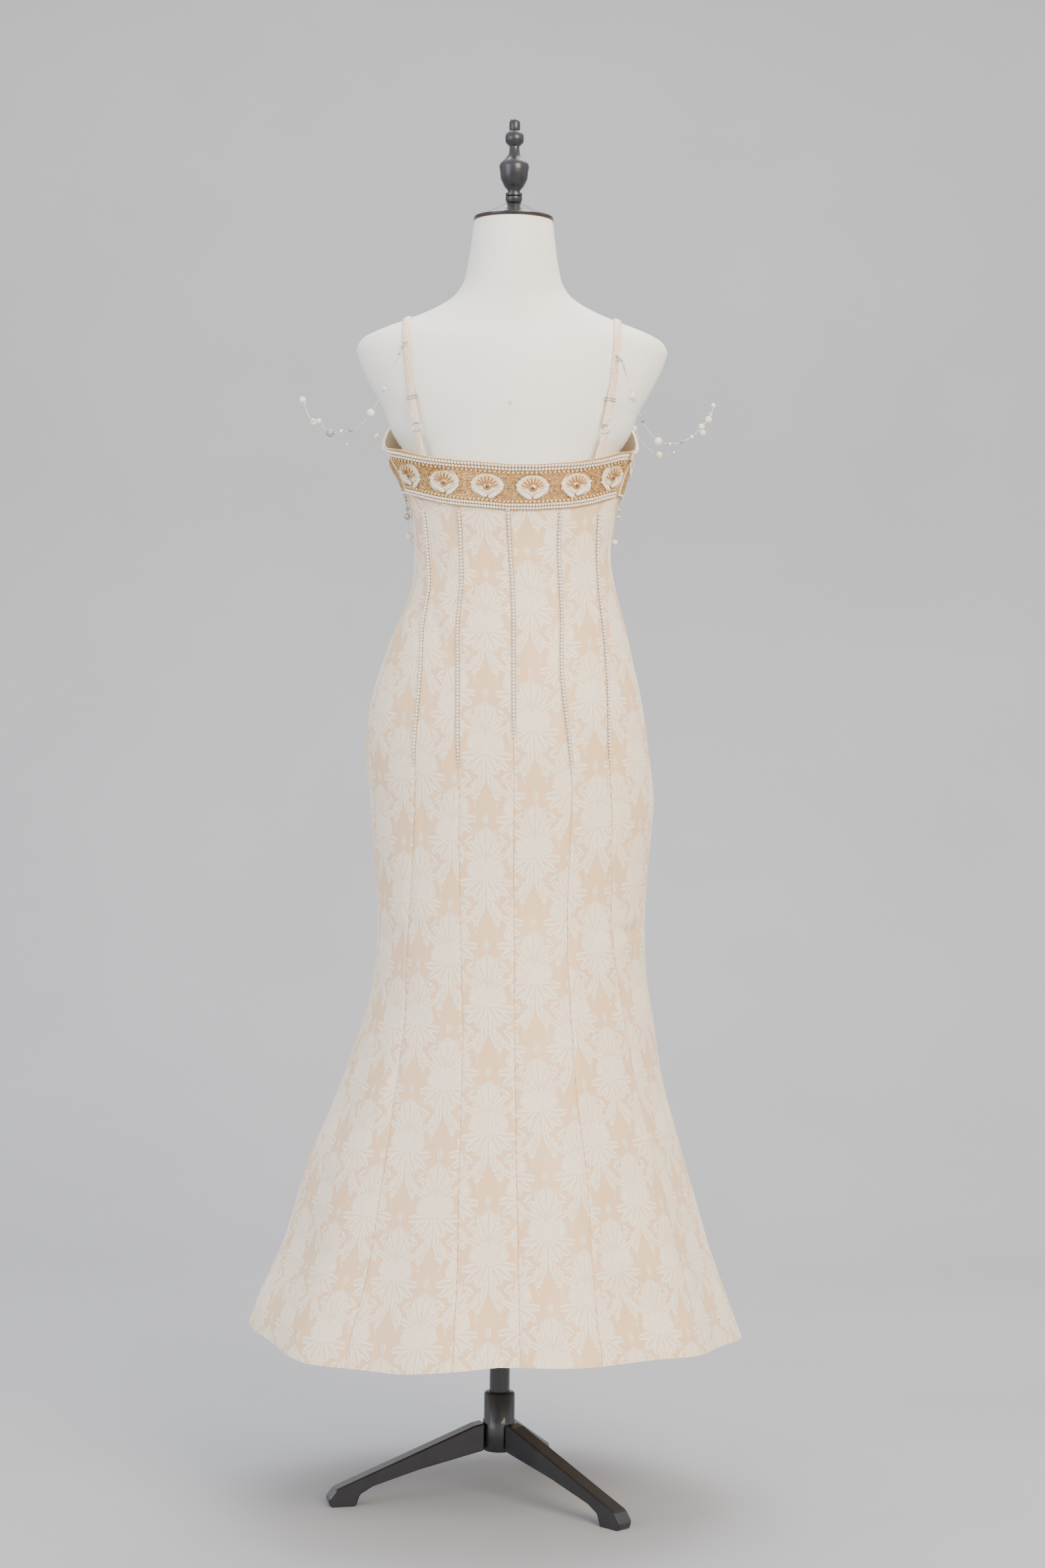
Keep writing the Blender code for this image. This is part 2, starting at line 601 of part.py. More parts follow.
def beaded(places, pearls, wire):
    """A wire's points with each pearl drawn as a swelling of the tube, and the swelling's scale."""
    places = np.asarray(places, float)
    path = smooth_path(places, 400)
    reach = np.concatenate([[0.0], np.cumsum(np.linalg.norm(np.diff(path, axis=0), axis=1))])
    total = reach[-1]
    nearest = [np.argmin(np.linalg.norm(path - p, axis=1)) for p in places]
    centres = [(reach[i], d / 2) for i, d in zip(nearest, pearls) if d]
    at, size = [0.0], [wire]
    for middle, radius in centres:
        for share in ((-0.97, -0.5, 0.5, 0.97) if radius > 0.0022 else (-0.9, 0.0, 0.9)):
            place = middle + share * radius
            if place > at[-1] + 0.0002 and place < total - 0.0005:
                at.append(place)
                size.append(max(wire, radius * math.sqrt(1 - share * share)))
    at.append(total)
    size.append(wire)
    points = np.stack([np.interp(at, reach, path[:, k]) for k in range(3)], axis=1)
    return points, np.array(size) / wire


def build_stand():
    outer = POLE_RADIUS
    bore = POLE_RADIUS - POLE_WALL
    seat = outer + TOUCH
    add_turned("hub", (
        (seat, HUB_BOTTOM), (seat, COLLAR_TOP), (COLLAR_RADIUS - 0.002, COLLAR_TOP),
        (COLLAR_RADIUS, COLLAR_TOP - 0.002), (COLLAR_RADIUS, 0.097), (HUB_RADIUS, 0.095),
        (HUB_RADIUS, HUB_BOTTOM + 0.002), (HUB_RADIUS - 0.002, HUB_BOTTOM),
    ), "stand", 24)
    add_turned("pole_lower", (
        (0.0, HUB_BOTTOM + 0.010), (bore, HUB_BOTTOM + 0.010), (bore, POLE_TOP), (outer, POLE_TOP),
        (outer, HUB_BOTTOM + 0.002), (0.0, HUB_BOTTOM + 0.002),
    ), "stand", 24)
    inner = bore - TOUCH
    add_turned("pole_clamp", (
        (seat, POLE_TOP - 0.030), (seat, POLE_TOP + TOUCH), (inner + TOUCH, POLE_TOP + TOUCH),
        (inner + TOUCH, POLE_TOP + 0.008), (0.0185, POLE_TOP + 0.008), (0.0205, POLE_TOP + 0.005),
        (0.0205, POLE_TOP - 0.027), (0.0185, POLE_TOP - 0.030),
    ), "stand", 20)
    add_turned("pole_upper", (
        (0.0, FORM_BOTTOM - TOUCH), (0.032, FORM_BOTTOM - TOUCH), (0.032, FORM_BOTTOM - 0.006),
        (inner, FORM_BOTTOM - 0.012), (inner, INNER_POLE_BOTTOM), (0.0, INNER_POLE_BOTTOM),
    ), "stand", 24)
    for number, angle in enumerate(LEG_ANGLES, 1):
        away = (math.cos(math.radians(angle)), math.sin(math.radians(angle)), 0.0)
        matrix = frame_at((0.0, 0.0, 0.0), away, (0.0, 0.0, 1.0))
        add_outline(f"leg_{number}", LEG, LEG_WIDTH, matrix, "stand", bevel=0.0018)


def build_form():
    heights = []
    z = rows(FORM, FORM_COLUMNS, "z")
    for low, high in zip(z[:-1], z[1:]):
        steps = max(1, round((high - low) / 0.036))
        heights += [low + (high - low) * k / steps for k in range(steps)]
    heights.append(z[-1])
    angle = np.arange(FORM_SIDES) * 360.0 / FORM_SIDES - 180.0
    rings = np.stack([form_point(angle, np.full(FORM_SIDES, h)) for h in heights])
    add_loft("torso", rings, "form_cloth")
    rim = NECK_TOP + TOUCH
    add_turned("neck_cap", [(r, rim + z) for r, z in CAP_PROFILE], "stand", 28)
    foot = rim + CAP_HEIGHT + TOUCH
    add_turned("finial", [(r, foot + z) for r, z in FINIAL_PROFILE], "stand", 16)


def hem(angle):
    return edge_height(HEM, HEM_COLUMNS, angle)


def top(angle):
    return edge_height(TOP, TOP_COLUMNS, angle)


def band_low(angle):
    return edge_height(BAND_LOW, BAND_LOW_COLUMNS, angle)


def band_front_top(angle):
    return edge_height(BAND_FRONT_TOP, BAND_FRONT_TOP_COLUMNS, angle)


def build_gores():
    def constant(angle):
        return lambda z: 0.0 * z + angle

    seams = [lambda z, n=name: seam_angle(n, z) for name in SEAM_COLUMNS[1:]]
    edges = [constant(SIDE_LEFT), *seams, constant(SIDE_RIGHT)]
    names = ("side_left", "mid_left", "centre_left", "centre_right", "mid_right", "side_right")
    for name, first, last in zip(names, edges[:-1], edges[1:]):
        add_gore(f"back_{name}", first, last, hem, top)
    turns = (SIDE_RIGHT, FRONT_MID, FRONT_CENTRE, 180 - FRONT_CENTRE, 180 - FRONT_MID, 360 + SIDE_LEFT)
    names = ("side_right", "mid_right", "centre", "mid_left", "side_left")
    for name, first, last in zip(names, turns[:-1], turns[1:]):
        across = 3 if "mid" in name else 5
        add_gore(
            f"front_{name}", constant(first), constant(last), hem,
            lambda a: band_front_top(a) - FRONT_TUCK, across,
        )
    half = 0.12
    for name, first, last in (("right", SIDE_RIGHT, 90.0), ("left", 90.0, 360 + SIDE_LEFT)):
        add_cup(f"cup_{name}", first + half, last - half, lambda a: band_front_top(a) - CUP_TUCK, top)


def build_band():
    half = 0.2
    add_band("band_back", SIDE_LEFT + half, SIDE_RIGHT - half, band_low, top, 27)
    add_band(
        "band_front", SIDE_RIGHT + half, 360 + SIDE_LEFT - half, band_low, band_front_top, 27,
        bordered=False,
    )


def build_straps():
    lie = STRAP_CLEAR + STRAP_THICK / 2
    points, normals = strap_line(lie)
    ring = np.array(RING_AT_BACK)
    fold_count = SLIDER_AT + 1
    for side, word in ((1, "right"), (-1, "left")):
        rings = mirrored(ribbon_rings(points, normals, STRAP_WIDTH, STRAP_THICK), side)
        add_loft(f"strap_{word}", rings, "brocade", smooth=False)
        out = STRAP_THICK + FOLD_CLEAR
        rings = mirrored(ribbon_rings(points + normals * out, normals, STRAP_WIDTH, STRAP_THICK), side)
        rings = rings[:fold_count]
        add_loft(f"strap_fold_{word}", rings, "brocade", smooth=False)
        around = np.arange(12) * 2 * math.pi / 12
        circle = np.stack([RING_RADIUS * np.cos(around), 0 * around, RING_RADIUS * np.sin(around)], axis=1)
        add_tube(f"strap_ring_{word}", mirrored(circle + ring, side), RING_WIRE, "metal", closed=True)
        at = TAB_ANGLE if side > 0 else -180.0 - TAB_ANGLE
        top = float(edge_height(TOP, TOP_COLUMNS, at))
        within = -CLOTH - TAB_CLEAR - STRAP_THICK / 2
        inner = dress_point(at, top - 0.012, within)
        edge = dress_point(at, top + 0.001, within)
        end = mirrored(ring + np.array((-0.0004, 0.0006, -0.0064)), side)
        tab = np.array([inner, edge, edge + (end - edge) * 0.5, end])
        lean = dress_point(at, top - 0.006, 0.001) - dress_point(at, top - 0.006, 0.0)
        tab_normal = np.tile(lean / np.linalg.norm(lean), (4, 1))
        rings = ribbon_rings(tab, tab_normal, STRAP_WIDTH, STRAP_THICK)
        add_loft(f"strap_tab_{word}", rings, "brocade", smooth=False)
        place = points[SLIDER_AT] - (points[SLIDER_AT] - points[0]) * 0.04
        normal = normals[SLIDER_AT]
        along = (place - points[0]) / np.linalg.norm(place - points[0])
        across = np.cross(along, normal)
        across /= np.linalg.norm(across)
        half_width = STRAP_WIDTH / 2 + 0.0016
        low, high = -STRAP_THICK / 2 - 0.0013, STRAP_THICK * 1.5 + FOLD_CLEAR + 0.0013
        corners = ((-1, low), (1, low), (1, high), (-1, high))
        loop = [place + across * half_width * a + normal * b for a, b in corners]
        add_tube(f"strap_slider_{word}", mirrored(loop, side), RING_WIRE, "metal", closed=True)


def build_garlands():
    for word, side in (("left", -1), ("right", 1)):
        table = np.array(GARLAND[word], float)
        back, front = (mirrored(strap_spot(z, k == 0), side) for k, z in enumerate(GARLAND_ENDS[word]))
        places = np.concatenate([[back], table[:, :3] / 1000, [front]])
        pearls = np.concatenate([[0.0], table[:, 3] / 1000, [0.0]])
        points, bulge = beaded(places, pearls, WIRE_RADIUS)
        add_tube(f"garland_{word}", points, WIRE_RADIUS, "pearl", sides=2, bulge=bulge)
    table = np.array(STRAND, float)
    angle = table[:, 0]
    low = edge_height(BAND_LOW, BAND_LOW_COLUMNS, angle)
    out = np.maximum(table[:, 2] / 2000, 0.0030) + STRAND_CLEAR
    out[[0, -1]] = BAND_BASE + TOUCH + WIRE_RADIUS
    places = dress_point(angle, low - table[:, 1] / 1000, out)
    points, bulge = beaded(places, table[:, 2] / 1000, WIRE_RADIUS)
    add_tube("waist_strand", points, WIRE_RADIUS, "pearl", sides=2, bulge=bulge)


def build_zip():
    out = BAND_BASE + TOUCH
    place = dress_point(ZIP_ANGLE, ZIP_Z, out)
    normal = dress_point(ZIP_ANGLE, ZIP_Z, out + 0.01) - place
    normal[2] = 0.0
    normal /= np.linalg.norm(normal)
    place = place + normal * SLIDER_LIFT
    side = np.array((-normal[1], normal[0], 0.0))
    slider = [(across / 1000, up / 1000) for across, up in SLIDER_OUTLINE]
    add_outline("zip_slider", slider, SLIDER_THICK, frame_at(place, side, normal), "metal")
    axis = place + normal * HINGE_LIFT
    pull = [(across / 1000, up / 1000) for across, up in PULL_OUTLINE]
    add_outline("zip_pull", pull, PULL_THICK, frame_at(axis, side, (0.0, 0.0, 1.0)), "pull")


for old in list(bpy.data.objects):
    bpy.data.objects.remove(old, do_unlink=True)
PARTS = bpy.data.collections.new("mermaid_dress_on_form")
bpy.context.scene.collection.children.link(PARTS)
MATERIALS = {
    "brocade": make_material("brocade", (0.76, 0.62, 0.45), 0.55),
    "band": make_material("band", (0.55, 0.36, 0.15), 0.45, 0.3),
    "form_cloth": make_material("form_cloth", (0.80, 0.78, 0.73), 0.85),
    "stand": make_material("stand", (0.018, 0.018, 0.022), 0.38),
    "metal": make_material("metal", (0.72, 0.70, 0.68), 0.30, 1.0),
    "pearl": make_material("pearl", (0.86, 0.83, 0.76), 0.25),
    "pull": make_material("pull", (0.86, 0.84, 0.80), 0.35),
}
build_stand()
build_form()
build_gores()
build_band()
build_straps()
build_garlands()
build_zip()
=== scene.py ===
"""Visual model of the mermaid midi dress on its dress form.

The CAD frame gives the bodies and the box. Cloth, beads and finishes are worked out here on the same body
surface that the part is built on, so each piece lies where its CAD node lies. Units are metres and degrees.
The back of the dress faces -Y, and +X is the wearer's right.
"""
import math

import bmesh
import bpy
import numpy as np
from mathutils import Matrix


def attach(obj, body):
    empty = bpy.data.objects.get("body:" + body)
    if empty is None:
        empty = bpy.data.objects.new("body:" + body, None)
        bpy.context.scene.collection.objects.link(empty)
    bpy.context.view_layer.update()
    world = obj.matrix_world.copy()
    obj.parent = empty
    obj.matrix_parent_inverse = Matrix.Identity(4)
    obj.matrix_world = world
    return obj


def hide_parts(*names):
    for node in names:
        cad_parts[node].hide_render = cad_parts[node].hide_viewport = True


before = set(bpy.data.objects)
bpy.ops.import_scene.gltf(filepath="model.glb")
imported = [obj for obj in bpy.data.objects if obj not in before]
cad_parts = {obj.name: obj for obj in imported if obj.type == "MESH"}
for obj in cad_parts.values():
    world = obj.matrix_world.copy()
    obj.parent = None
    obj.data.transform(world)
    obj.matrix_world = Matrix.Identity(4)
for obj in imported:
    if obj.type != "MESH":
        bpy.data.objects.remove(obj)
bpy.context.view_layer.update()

# Camera: where the photo was taken from, its focal length and height in pixels, tilt and lean in degrees.
CAMERA_PLACE = (0.0193, -3.53, 0.9)
FOCAL_PX = 4300.0
PHOTO_HEIGHT_PX = 2352.0
SENSOR = 36.0
TILT_DOWN = 0.346
LEAN = 0.69

# Driving sizes of the dress, as in the part.
CLOTH = 0.0015
SEAM_GAP = 0.0004
TOUCH = 0.0003
BAND_CLEAR = 0.0009
FRONT_CLEAR = 0.0013
BAND_BASE = 0.0026
FRONT_TUCK = 0.0065
CUP_TUCK = 0.0045
STRAP_WIDTH = 0.009
STRAP_THICK = 0.0014
RING_RADIUS = 0.0050
RING_WIRE = 0.0008
MM = 0.001

# Outer half-sizes of the worn dress at each height: left (-X), right (+X), back (-Y) and front (+Y).
BODY_COLUMNS = ("z", "left", "right", "back", "front")
BODY = (
    (0.195, 0.313, 0.298, 0.301, 0.301), (0.235, 0.3015, 0.282, 0.290, 0.288),
    (0.310, 0.270, 0.2555, 0.264, 0.262), (0.408, 0.240, 0.227, 0.234, 0.232),
    (0.505, 0.2023, 0.1987, 0.205, 0.198), (0.603, 0.1682, 0.182, 0.178, 0.168),
    (0.660, 0.160, 0.174, 0.165, 0.150), (0.710, 0.1575, 0.171, 0.153, 0.141),
    (0.810, 0.164, 0.178, 0.142, 0.131), (0.858, 0.168, 0.181, 0.139, 0.127),
    (0.923, 0.1746, 0.174, 0.136, 0.118), (0.989, 0.1655, 0.1633, 0.127, 0.110),
    (1.055, 0.1458, 0.1486, 0.108, 0.100), (1.120, 0.1195, 0.1314, 0.090, 0.090),
    (1.160, 0.1175, 0.1245, 0.084, 0.088), (1.200, 0.1205, 0.128, 0.086, 0.096),
    (1.250, 0.134, 0.139, 0.092, 0.108), (1.2825, 0.152, 0.151, 0.098, 0.114),
    (1.330, 0.160, 0.160, 0.098, 0.114), (1.375, 0.150, 0.150, 0.090, 0.104),
)
# Half-sizes of the form itself.
FORM_COLUMNS = ("z", "side", "back", "front")
FORM = (
    (0.800, 0.138, 0.106, 0.098), (0.806, 0.150, 0.118, 0.108), (0.830, 0.155, 0.124, 0.112),
    (0.870, 0.160, 0.127, 0.112), (0.920, 0.162, 0.125, 0.107), (0.989, 0.152, 0.116, 0.100),
    (1.055, 0.135, 0.098, 0.091), (1.120, 0.112, 0.081, 0.082), (1.160, 0.110, 0.077, 0.080),
    (1.200, 0.114, 0.079, 0.087), (1.250, 0.124, 0.084, 0.099), (1.285, 0.131, 0.087, 0.103),
    (1.311, 0.147, 0.089, 0.099), (1.335, 0.156, 0.091, 0.091), (1.366, 0.173, 0.090, 0.080),
    (1.396, 0.187, 0.085, 0.068), (1.414, 0.190, 0.078, 0.059), (1.426, 0.181, 0.071, 0.053),
    (1.435, 0.163, 0.065, 0.049), (1.445, 0.137, 0.059, 0.046), (1.453, 0.116, 0.055, 0.045),
    (1.462, 0.096, 0.052, 0.045), (1.475, 0.075, 0.050, 0.046), (1.490, 0.063, 0.051, 0.048),
    (1.515, 0.056, 0.051, 0.050), (1.545, 0.0515, 0.0505, 0.0505), (1.570, 0.0485, 0.0485, 0.0485),
)
# The bust: two soft swellings of the front.
BUST_ANGLE = 54.0
BUST_HEIGHT = 1.262
BUST_SPREAD_DEG = 20.0
BUST_SPREAD_Z = 0.042
BUST_DRESS = 0.033
BUST_FORM = 0.020

# Angle of each back seam at each height, from +X, negative at the back.
SEAM_COLUMNS = ("z", "back_1", "back_2", "back_3", "back_4", "back_5")
SEAMS = (
    (0.195, -125.0, -99.5, -85.0, -66.0, -32.0), (0.300, -125.0, -100.3, -85.0, -65.2, -32.5),
    (0.440, -126.5, -102.2, -85.3, -63.2, -33.0), (0.560, -132.0, -105.0, -85.6, -63.7, -36.0),
    (0.690, -137.5, -109.0, -86.1, -64.0, -40.0), (0.800, -133.0, -109.8, -86.8, -64.4, -44.0),
    (0.910, -129.3, -109.2, -87.2, -64.3, -45.6), (1.015, -131.0, -112.0, -87.5, -66.0, -41.0),
    (1.110, -142.5, -118.0, -88.0, -62.2, -35.0), (1.160, -147.0, -119.5, -89.5, -61.5, -31.5),
    (1.215, -149.0, -120.2, -91.2, -62.0, -33.8), (1.300, -150.0, -121.0, -92.0, -62.0, -34.0),
)
SIDE_RIGHT = -14.0
SIDE_LEFT = -166.0
FRONT_SEAMS = (-14.0, 40.0, 66.0, 114.0, 140.0, 194.0)
HEM_LEVEL = 0.210
TOP_LEVEL = 1.275
EDGE_COLUMNS = ("angle", "z")
HEM = (
    (-180.0, 0.222), (-135.0, 0.206), (-112.0, 0.208), (-90.0, 0.219), (-50.0, 0.218),
    (0.0, 0.204), (45.0, 0.214), (90.0, 0.208), (135.0, 0.215), (180.0, 0.222),
)
TOP = (
    (-180.0, 1.2915), (-166.0, 1.2865), (-151.0, 1.2830), (-132.0, 1.2720), (-115.0, 1.2670),
    (-90.0, 1.2620), (-78.0, 1.2625), (-59.0, 1.2668), (-42.0, 1.2745), (-30.0, 1.2830),
    (-14.0, 1.2865), (0.0, 1.2915), (12.0, 1.3030), (24.0, 1.3230), (38.0, 1.3480), (48.0, 1.3600),
    (58.0, 1.3540), (74.0, 1.3140), (90.0, 1.2800), (106.0, 1.3140), (122.0, 1.3540),
    (132.0, 1.3600), (142.0, 1.3480), (156.0, 1.3230), (168.0, 1.3030), (180.0, 1.2915),
)
BAND_LOW = (
    (-180.0, 1.2350), (-165.0, 1.2320), (-150.0, 1.2240), (-120.0, 1.2130), (-93.0, 1.2080),
    (-76.0, 1.2085), (-53.0, 1.2130), (-31.0, 1.2235), (-16.0, 1.2320), (0.0, 1.2330),
    (45.0, 1.2150), (90.0, 1.2030), (135.0, 1.2150), (180.0, 1.2350),
)
BAND_FRONT_TOP = (
    (-180.0, 1.2700), (-166.0, 1.2800), (-14.0, 1.2800), (0.0, 1.2700), (45.0, 1.2450),
    (90.0, 1.2330), (135.0, 1.2450), (180.0, 1.2700),
)

# Folds of the back in mm: x and z of both ends of its line, its half-width and its height out.
FOLDS = (
    (138, 702, 172, 707, 5, -2.6), (128, 712, 170, 722, 8, 1.8), (120, 690, 168, 690, 9, 1.5),
    (-96, 1082, -58, 1030, 6, -1.8), (-84, 1086, -46, 1036, 8, 1.3), (-120, 1062, -80, 1010, 9, 1.0),
    (96, 820, 112, 640, 10, -1.6), (118, 800, 130, 650, 12, 1.4), (-90, 1136, 70, 1128, 8, -1.1),
    (-60, 1158, 96, 1150, 9, 1.0), (-40, 1108, 104, 1100, 10, -0.9), (150, 330, 214, 296, 12, 2.4),
    (140, 300, 205, 262, 12, -2.0), (-150, 690, -96, 706, 9, -1.4), (-146, 712, -90, 730, 10, 1.2),
    (-60, 650, 20, 632, 16, -1.0), (20, 690, 80, 676, 14, 0.9), (-190, 420, -120, 560, 18, 1.8),
)
PUCKER_DEPTH = 0.8 * MM
PUCKER_WIDTH = 2.4 * MM
RIPPLE = 0.35 * MM
SWAY = 0.35 * MM
RIPPLE_PITCH = 12 * MM

# Damask in mm: repeat across and along, raggedness, pitch of the echo lines, and widths of edge and rib.
REPEAT_X = 87.0
REPEAT_Y = 150.0
RAGGED = 4.0
ECHO_PITCH = 4.0
EDGE_LINE = 1.8
RIB_LINE = 1.1
# For each gore the place of one medallion: metres from its middle line towards +angle, and its height.
MEDALLION_AT = {
    "back_side_left": (0.028, 0.455), "back_mid_left": (-0.020, 0.456), "back_centre_left": (0.0, 0.480),
    "back_centre_right": (-0.010, 0.5065), "back_mid_right": (0.006, 0.5395),
    "back_side_right": (0.010, 0.470), "front_centre": (0.0, 0.480), "cup": (0.0, 1.300),
}
# One medallion's leaves in mm from its middle, on the side x >= 0 and mirrored: place, turn of its length
# from upright towards +x, half-length, half-width, bluntness, teeth, depth of the teeth, rib.
LEAVES = (
    (0.0, 12.0, 0, 44, 23.0, 0.60, 7.0, 0.16, 1.0),
    (0.0, -14.0, 0, 20, 25.0, 0.50, 4.0, 0.14, 0.0),
    (0.0, 66.0, 0, 8.0, 4.6, 0.80, 1.5, 0.25, 1.0),
    (35.0, -2.0, 8, 12, 4.6, 0.90, 2.5, 0.30, 1.0),
    (31.0, 18.0, -14, 11, 4.8, 0.90, 2.5, 0.30, 1.0),
    (14.0, -52.0, -26, 22, 9.5, 0.65, 3.5, 0.28, 1.0),
    (6.5, -44.0, -30, 12, 4.6, 0.80, 2.0, 0.15, 1.0),
    (18.0, -67.0, 60, 7.0, 5.4, 0.50, 1.0, 0.10, 0.0),
    (5.2, -35.5, 0, 6.0, 4.8, 0.50, 1.0, 0.00, 1.0),
    (25.0, -34.0, 52, 11, 6.0, 0.80, 2.0, 0.20, 1.0),
    (20.0, 22.0, 62, 13, 5.6, 0.90, 3.0, 0.30, 1.0),
    (14.5, 31.0, 38, 16, 5.8, 0.90, 3.5, 0.30, 1.0),
    (7.5, 37.0, 18, 19, 5.8, 0.90, 4.0, 0.30, 1.0),
    (0.0, 40.0, 0, 22, 6.0, 0.90, 4.5, 0.30, 1.0),
    (23.0, -9.0, -84, 12, 6.0, 0.50, 1.5, 0.10, 1.0),
    (17.0, -17.0, -52, 14, 6.0, 0.50, 1.5, 0.10, 1.0),
    (8.5, -20.0, -24, 14, 6.0, 0.50, 1.5, 0.10, 1.0),
    (0.0, -21.0, 0, 14, 5.4, 0.50, 1.5, 0.10, 1.0),
    (17.0, 4.0, 0, 8.0, 7.5, 0.50, 2.5, 0.14, 0.0),
    (0.0, 3.0, 0, 11.5, 10.5, 0.50, 3.5, 0.16, 0.0),
    (0.0, 3.0, 0, 5.0, 4.6, 0.50, 2.5, 0.12, 0.0),
)

# Band's rows: height from the band's mid-line in mm, and what lies there.
PEARL_ROWS = (25.0, 21.1, -21.1, -25.0)
RING_ROWS = (17.2, -17.2)
BAND_PEARL = 1.85 * MM
RING_PITCH = 5.4 * MM
SEED = 1.0 * MM
SEED_PITCH = 2.15 * MM
SEED_HALF_HEIGHT = 15.6 * MM
MEDALLION_PITCH = 0.055
MEDALLIONS = (-2.5, -1.5, -0.5, 0.5, 1.5, 2.5)
# Half-sizes of the room that the seeds leave round a medallion, and of its outline of brown beads.
MEDALLION_ROOM = (0.0200, 0.0150)
OUTLINE_HALF = (20.7 * MM, 15.7 * MM)
OUTLINE_BEADS = 54
OUTLINE_BEAD = 0.65 * MM
ZIP_CLEAR_ANGLE = -20.5
# One medallion of the band in mm: place, turn, half-length, half-width, height, lift, narrowing, material.
PETALS = (
    (0, 0, 0, 15.0, 20.0, 0.8, 0.1, 0.0, "cream"),
    *((11.0 * math.sin(math.radians(t)), -1.0 + 9.0 * math.cos(math.radians(t)), t, 5.0, 1.9, 1.0, 0.7, -0.3,
       "pale_gold") for t in range(-88, 89, 22)),
    *((9.0 * math.sin(math.radians(t)), -1.0 + 7.6 * math.cos(math.radians(t)), t, 5.6, 0.6, 1.0, 1.3, -0.2,
       "brass") for t in range(-77, 78, 22)),
    (0, -1, 0, 4.6, 5.4, 1.5, 1.1, 0.0, "gold"), (0, -1, 0, 2.2, 2.2, 2.0, 2.0, 0.0, "amber"),
    (8.8, -9.4, 62, 9.6, 3.5, 1.0, 0.6, 0.4, "brass"), (-8.8, -9.4, -62, 9.6, 3.5, 1.0, 0.6, 0.4, "brass"),
    (8.8, -9.4, 62, 8.8, 2.7, 1.2, 1.2, 0.4, "white"), (-8.8, -9.4, -62, 8.8, 2.7, 1.2, 1.2, 0.4, "white"),
    (17.6, 1.5, 60, 3.8, 1.7, 1.0, 0.9, 0.3, "white"), (-17.6, 1.5, -60, 3.8, 1.7, 1.0, 0.9, 0.3, "white"),
    (16.6, -3.2, 84, 3.4, 1.5, 1.0, 0.9, 0.3, "white"), (-16.6, -3.2, -84, 3.4, 1.5, 1.0, 0.9, 0.3, "white"),
)
# Beads on the front run of the band and on the cups' edge, as radius and pitch.
FRONT_PEARL = 1.55 * MM
FRONT_PEARL_PITCH = 3.3 * MM
FRONT_SEED = 1.1 * MM
FRONT_SEED_PITCH = 2.5 * MM
CUP_PEARL = 1.5 * MM
CUP_GAP = 0.12
# Trims of the back seams: pearls from the band down to an end, cords beside them and a thread below.
SEAM_PEARL = 2.1 * MM
SEAM_PEARL_PITCH = 4.3 * MM
SEAM_PEARL_END = {"back_1": 0.900, "back_2": 0.900, "back_3": 0.935, "back_4": 0.900, "back_5": 0.905}
SEAM_PEARL_TOP = 1.222
SEAM_CORD_TOP = 1.2055
SEAM_CORD = 0.45 * MM
SEAM_THREAD = 0.4 * MM
CHANNEL_HALF = 2.9 * MM

# Straps, as in the part.
STRAP_COLUMNS = ("way", "x")
STRAP = ((-1.0, 0.1225), (-0.7, 0.1270), (-0.4, 0.1284), (0.0, 0.1284), (0.6, 0.1272), (1.0, 0.1235))
STRAP_DROP_BACK = 0.085
STRAP_DROP_FRONT = 0.050
STRAP_CLEAR = 0.0009
FOLD_CLEAR = 0.0007
STRAP_STEPS = 19
FREE_STRETCH = (0.0, 0.30, 0.62, 0.85)
SLIDER_AT = 2
SLIDER_WIRE = 0.7 * MM
RING_AT_BACK = (0.1140, -0.0660, 1.3080)
CUP_ANGLE = 48.0
TAB_ANGLE = -43.5
TAB_CLEAR = 0.0010
RUCHE_PITCH = 3.4 * MM
STRAP_END = 0.0016
STRAP_SEWN = 0.008

# Wires with pearls: place in mm and the pearl's diameter there, or 0; the ends lie on the strap.
WIRE_RADIUS = 0.0005
GARLAND_ENDS = {"left": (1.413, 1.402), "right": (1.400, 1.402)}
GARLAND = {
    "left": (
        (-134, -80, 1397, 3), (-138, -85, 1386, 3), (-142, -87, 1376, 0), (-152, -88, 1351, 6),
        (-161, -88, 1334, 0), (-168, -86, 1323, 10), (-180, -82, 1309, 0), (-192, -76, 1303, 5),
        (-205, -68, 1302, 5), (-219, -58, 1301, 10), (-234, -43, 1317, 7), (-242, -33, 1319, 5),
        (-256, -12, 1346, 9), (-261, 4, 1354, 0), (-257, 22, 1346, 5), (-246, 42, 1325, 9),
        (-228, 62, 1308, 0), (-206, 78, 1302, 5), (-188, 86, 1305, 0), (-170, 90, 1313, 9),
        (-156, 90, 1330, 0), (-146, 84, 1352, 9), (-140, 76, 1375, 0), (-136, 66, 1388, 0),
    ),
    "right": (
        (134, -80, 1386, 3), (137, -85, 1374, 3), (140, -87, 1365, 0), (145, -88, 1346, 10),
        (152, -88, 1331, 0), (158, -87, 1317, 6), (168, -84, 1302, 0), (178, -80, 1293, 10),
        (192, -72, 1291, 4), (207, -62, 1295, 4), (219, -52, 1302, 5), (232, -40, 1316, 8),
        (241, -28, 1326, 9), (248, -8, 1346, 6), (246, 16, 1338, 5), (238, 38, 1318, 9),
        (222, 58, 1303, 0), (204, 72, 1296, 4), (186, 82, 1294, 9), (168, 87, 1308, 0),
        (154, 88, 1328, 9), (145, 82, 1352, 0), (139, 74, 1375, 0), (136, 66, 1386, 0),
    ),
}
STRAND_CLEAR = 0.0014
